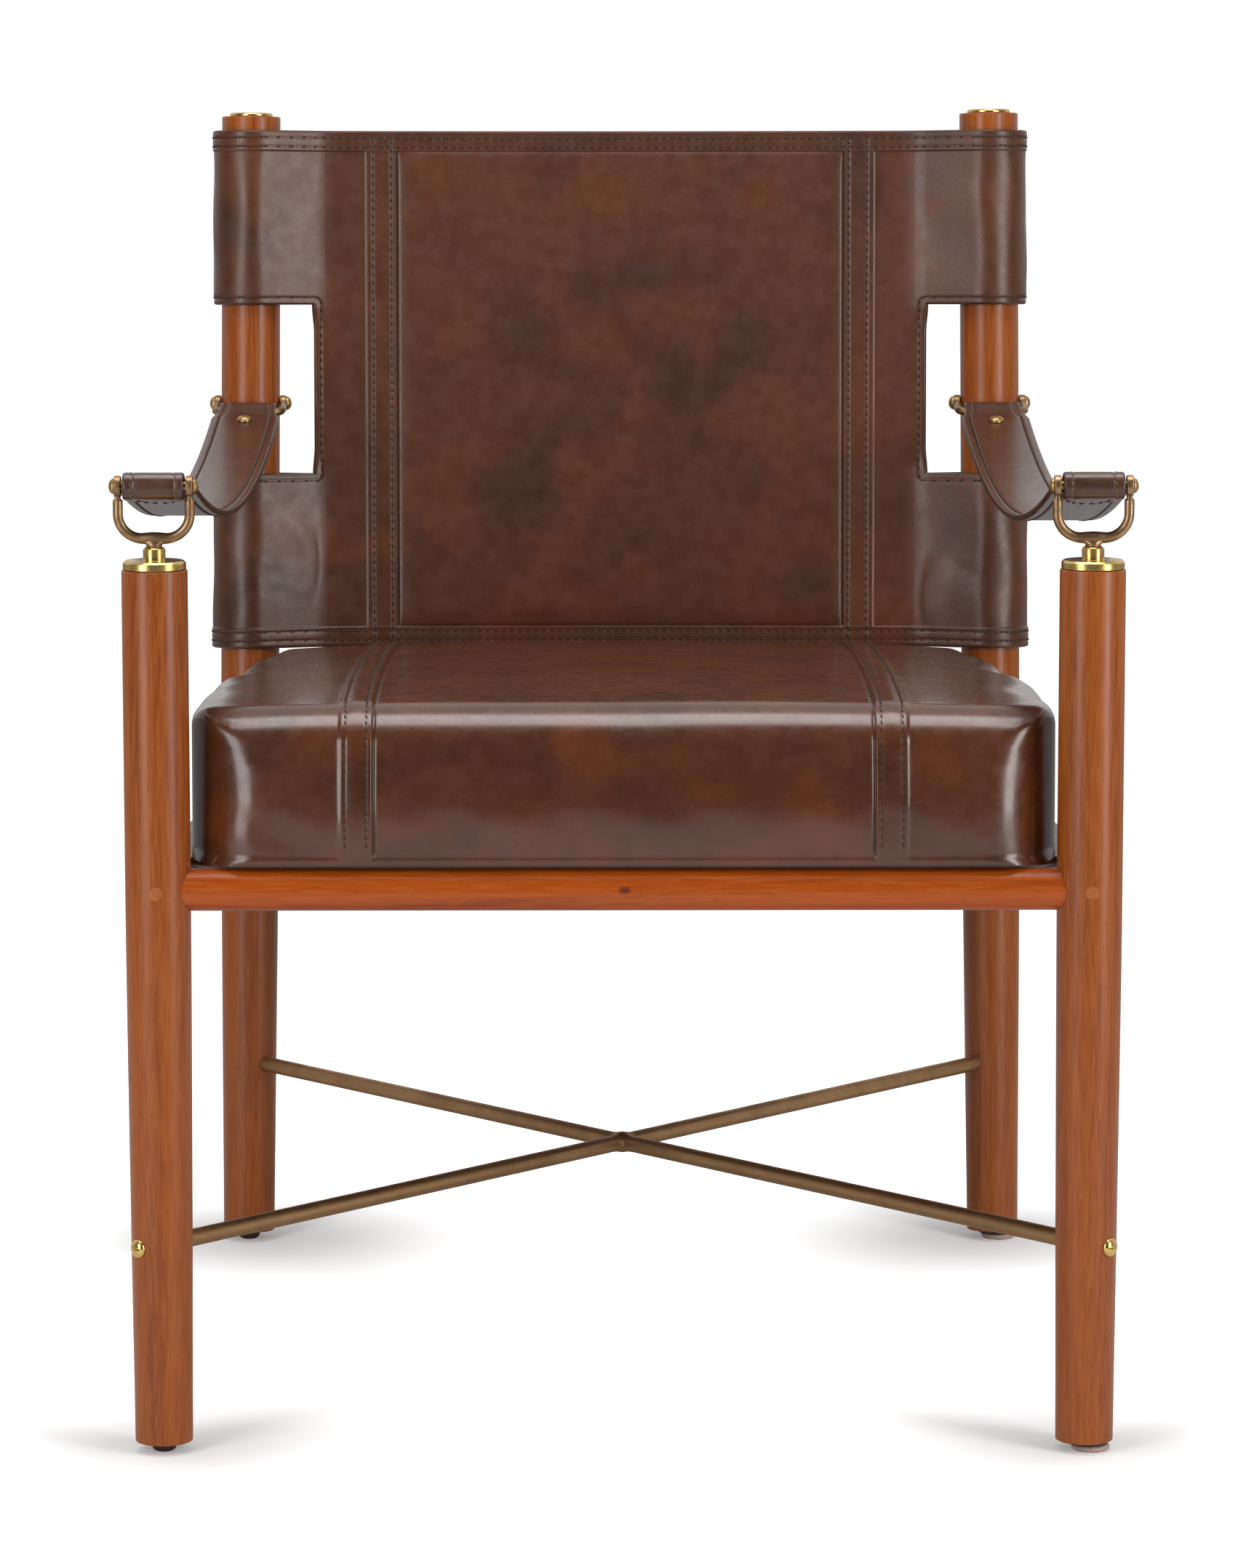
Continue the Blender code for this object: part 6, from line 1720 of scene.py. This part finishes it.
def studio_world():
    """White to the camera; to reflections, bright behind and beside the chair and dim in front."""
    world = bpy.data.worlds.new("studio_world")
    bpy.context.scene.world = world
    world.use_nodes = True
    tree = world.node_tree
    background = tree.nodes["Background"]
    rays = wire(tree, "ShaderNodeLightPath", out=None).outputs
    coords = wire(tree, "ShaderNodeTexCoord", out=0)
    ahead = wire(tree, "ShaderNodeSeparateXYZ", {0: coords}, out=1)
    room = fit(tree, ahead, -0.35, 0.45, 0.07, 0.75)
    fill = calc(tree, "MAXIMUM", calc(tree, "MULTIPLY", rays["Is Glossy Ray"], room),
                calc(tree, "MULTIPLY", rays["Is Diffuse Ray"], 0.25))
    seen = calc(tree, "MAXIMUM", rays["Is Camera Ray"], rays["Is Transmission Ray"])
    feed(tree, calc(tree, "MAXIMUM", fill, seen), background.inputs["Strength"])
    background.inputs["Color"].default_value = (1, 1, 1, 1)


def soft_box(name, place, target, width, height, power):
    """A rectangular lamp turned towards a point."""
    lamp = bpy.data.lights.new(name, "AREA")
    lamp.shape = "RECTANGLE"
    lamp.size, lamp.size_y, lamp.energy = width, height, power
    obj = bpy.data.objects.new(name, lamp)
    bpy.context.scene.collection.objects.link(obj)
    turn = Vector(np.subtract(target, place)).to_track_quat("-Z", "Y").to_matrix().to_4x4()
    obj.matrix_world = Matrix.Translation(place) @ turn


PHOTO_WIDTH = 1713
FOCAL_PIXELS = 7836.26
CAMERA_PLACE = (-0.01368, LEG_LINE - 3.50143, 0.89199)
CAMERA_YAW, CAMERA_PITCH, CAMERA_ROLL = -0.00374, math.pi / 2 - 0.13325, -0.00051

pale_floor()
studio_world()
soft_box("right_box", (1.75, -1.55, 1.05), (0.0, 0.0, 0.5), 0.65, 1.9, 30)
soft_box("left_box", (-1.50, -1.85, 1.05), (0.0, 0.0, 0.5), 0.8, 1.9, 26)
soft_box("overhead_box", (0.0, -0.25, 2.3), (0.0, 0.0, 0.4), 1.8, 0.9, 27)

camera = bpy.data.cameras.new("camera")
camera.sensor_fit = "HORIZONTAL"
camera.sensor_width = 36
camera.lens = FOCAL_PIXELS / PHOTO_WIDTH * camera.sensor_width
camera_object = bpy.data.objects.new("camera", camera)
camera_object.matrix_world = (
    Matrix.Translation(CAMERA_PLACE) @ Matrix.Rotation(CAMERA_YAW, 4, "Z")
    @ Matrix.Rotation(CAMERA_PITCH, 4, "X") @ Matrix.Rotation(CAMERA_ROLL, 4, "Z"))
bpy.context.scene.collection.objects.link(camera_object)
bpy.context.scene.camera = camera_object
bpy.context.scene.view_settings.view_transform = "Standard"
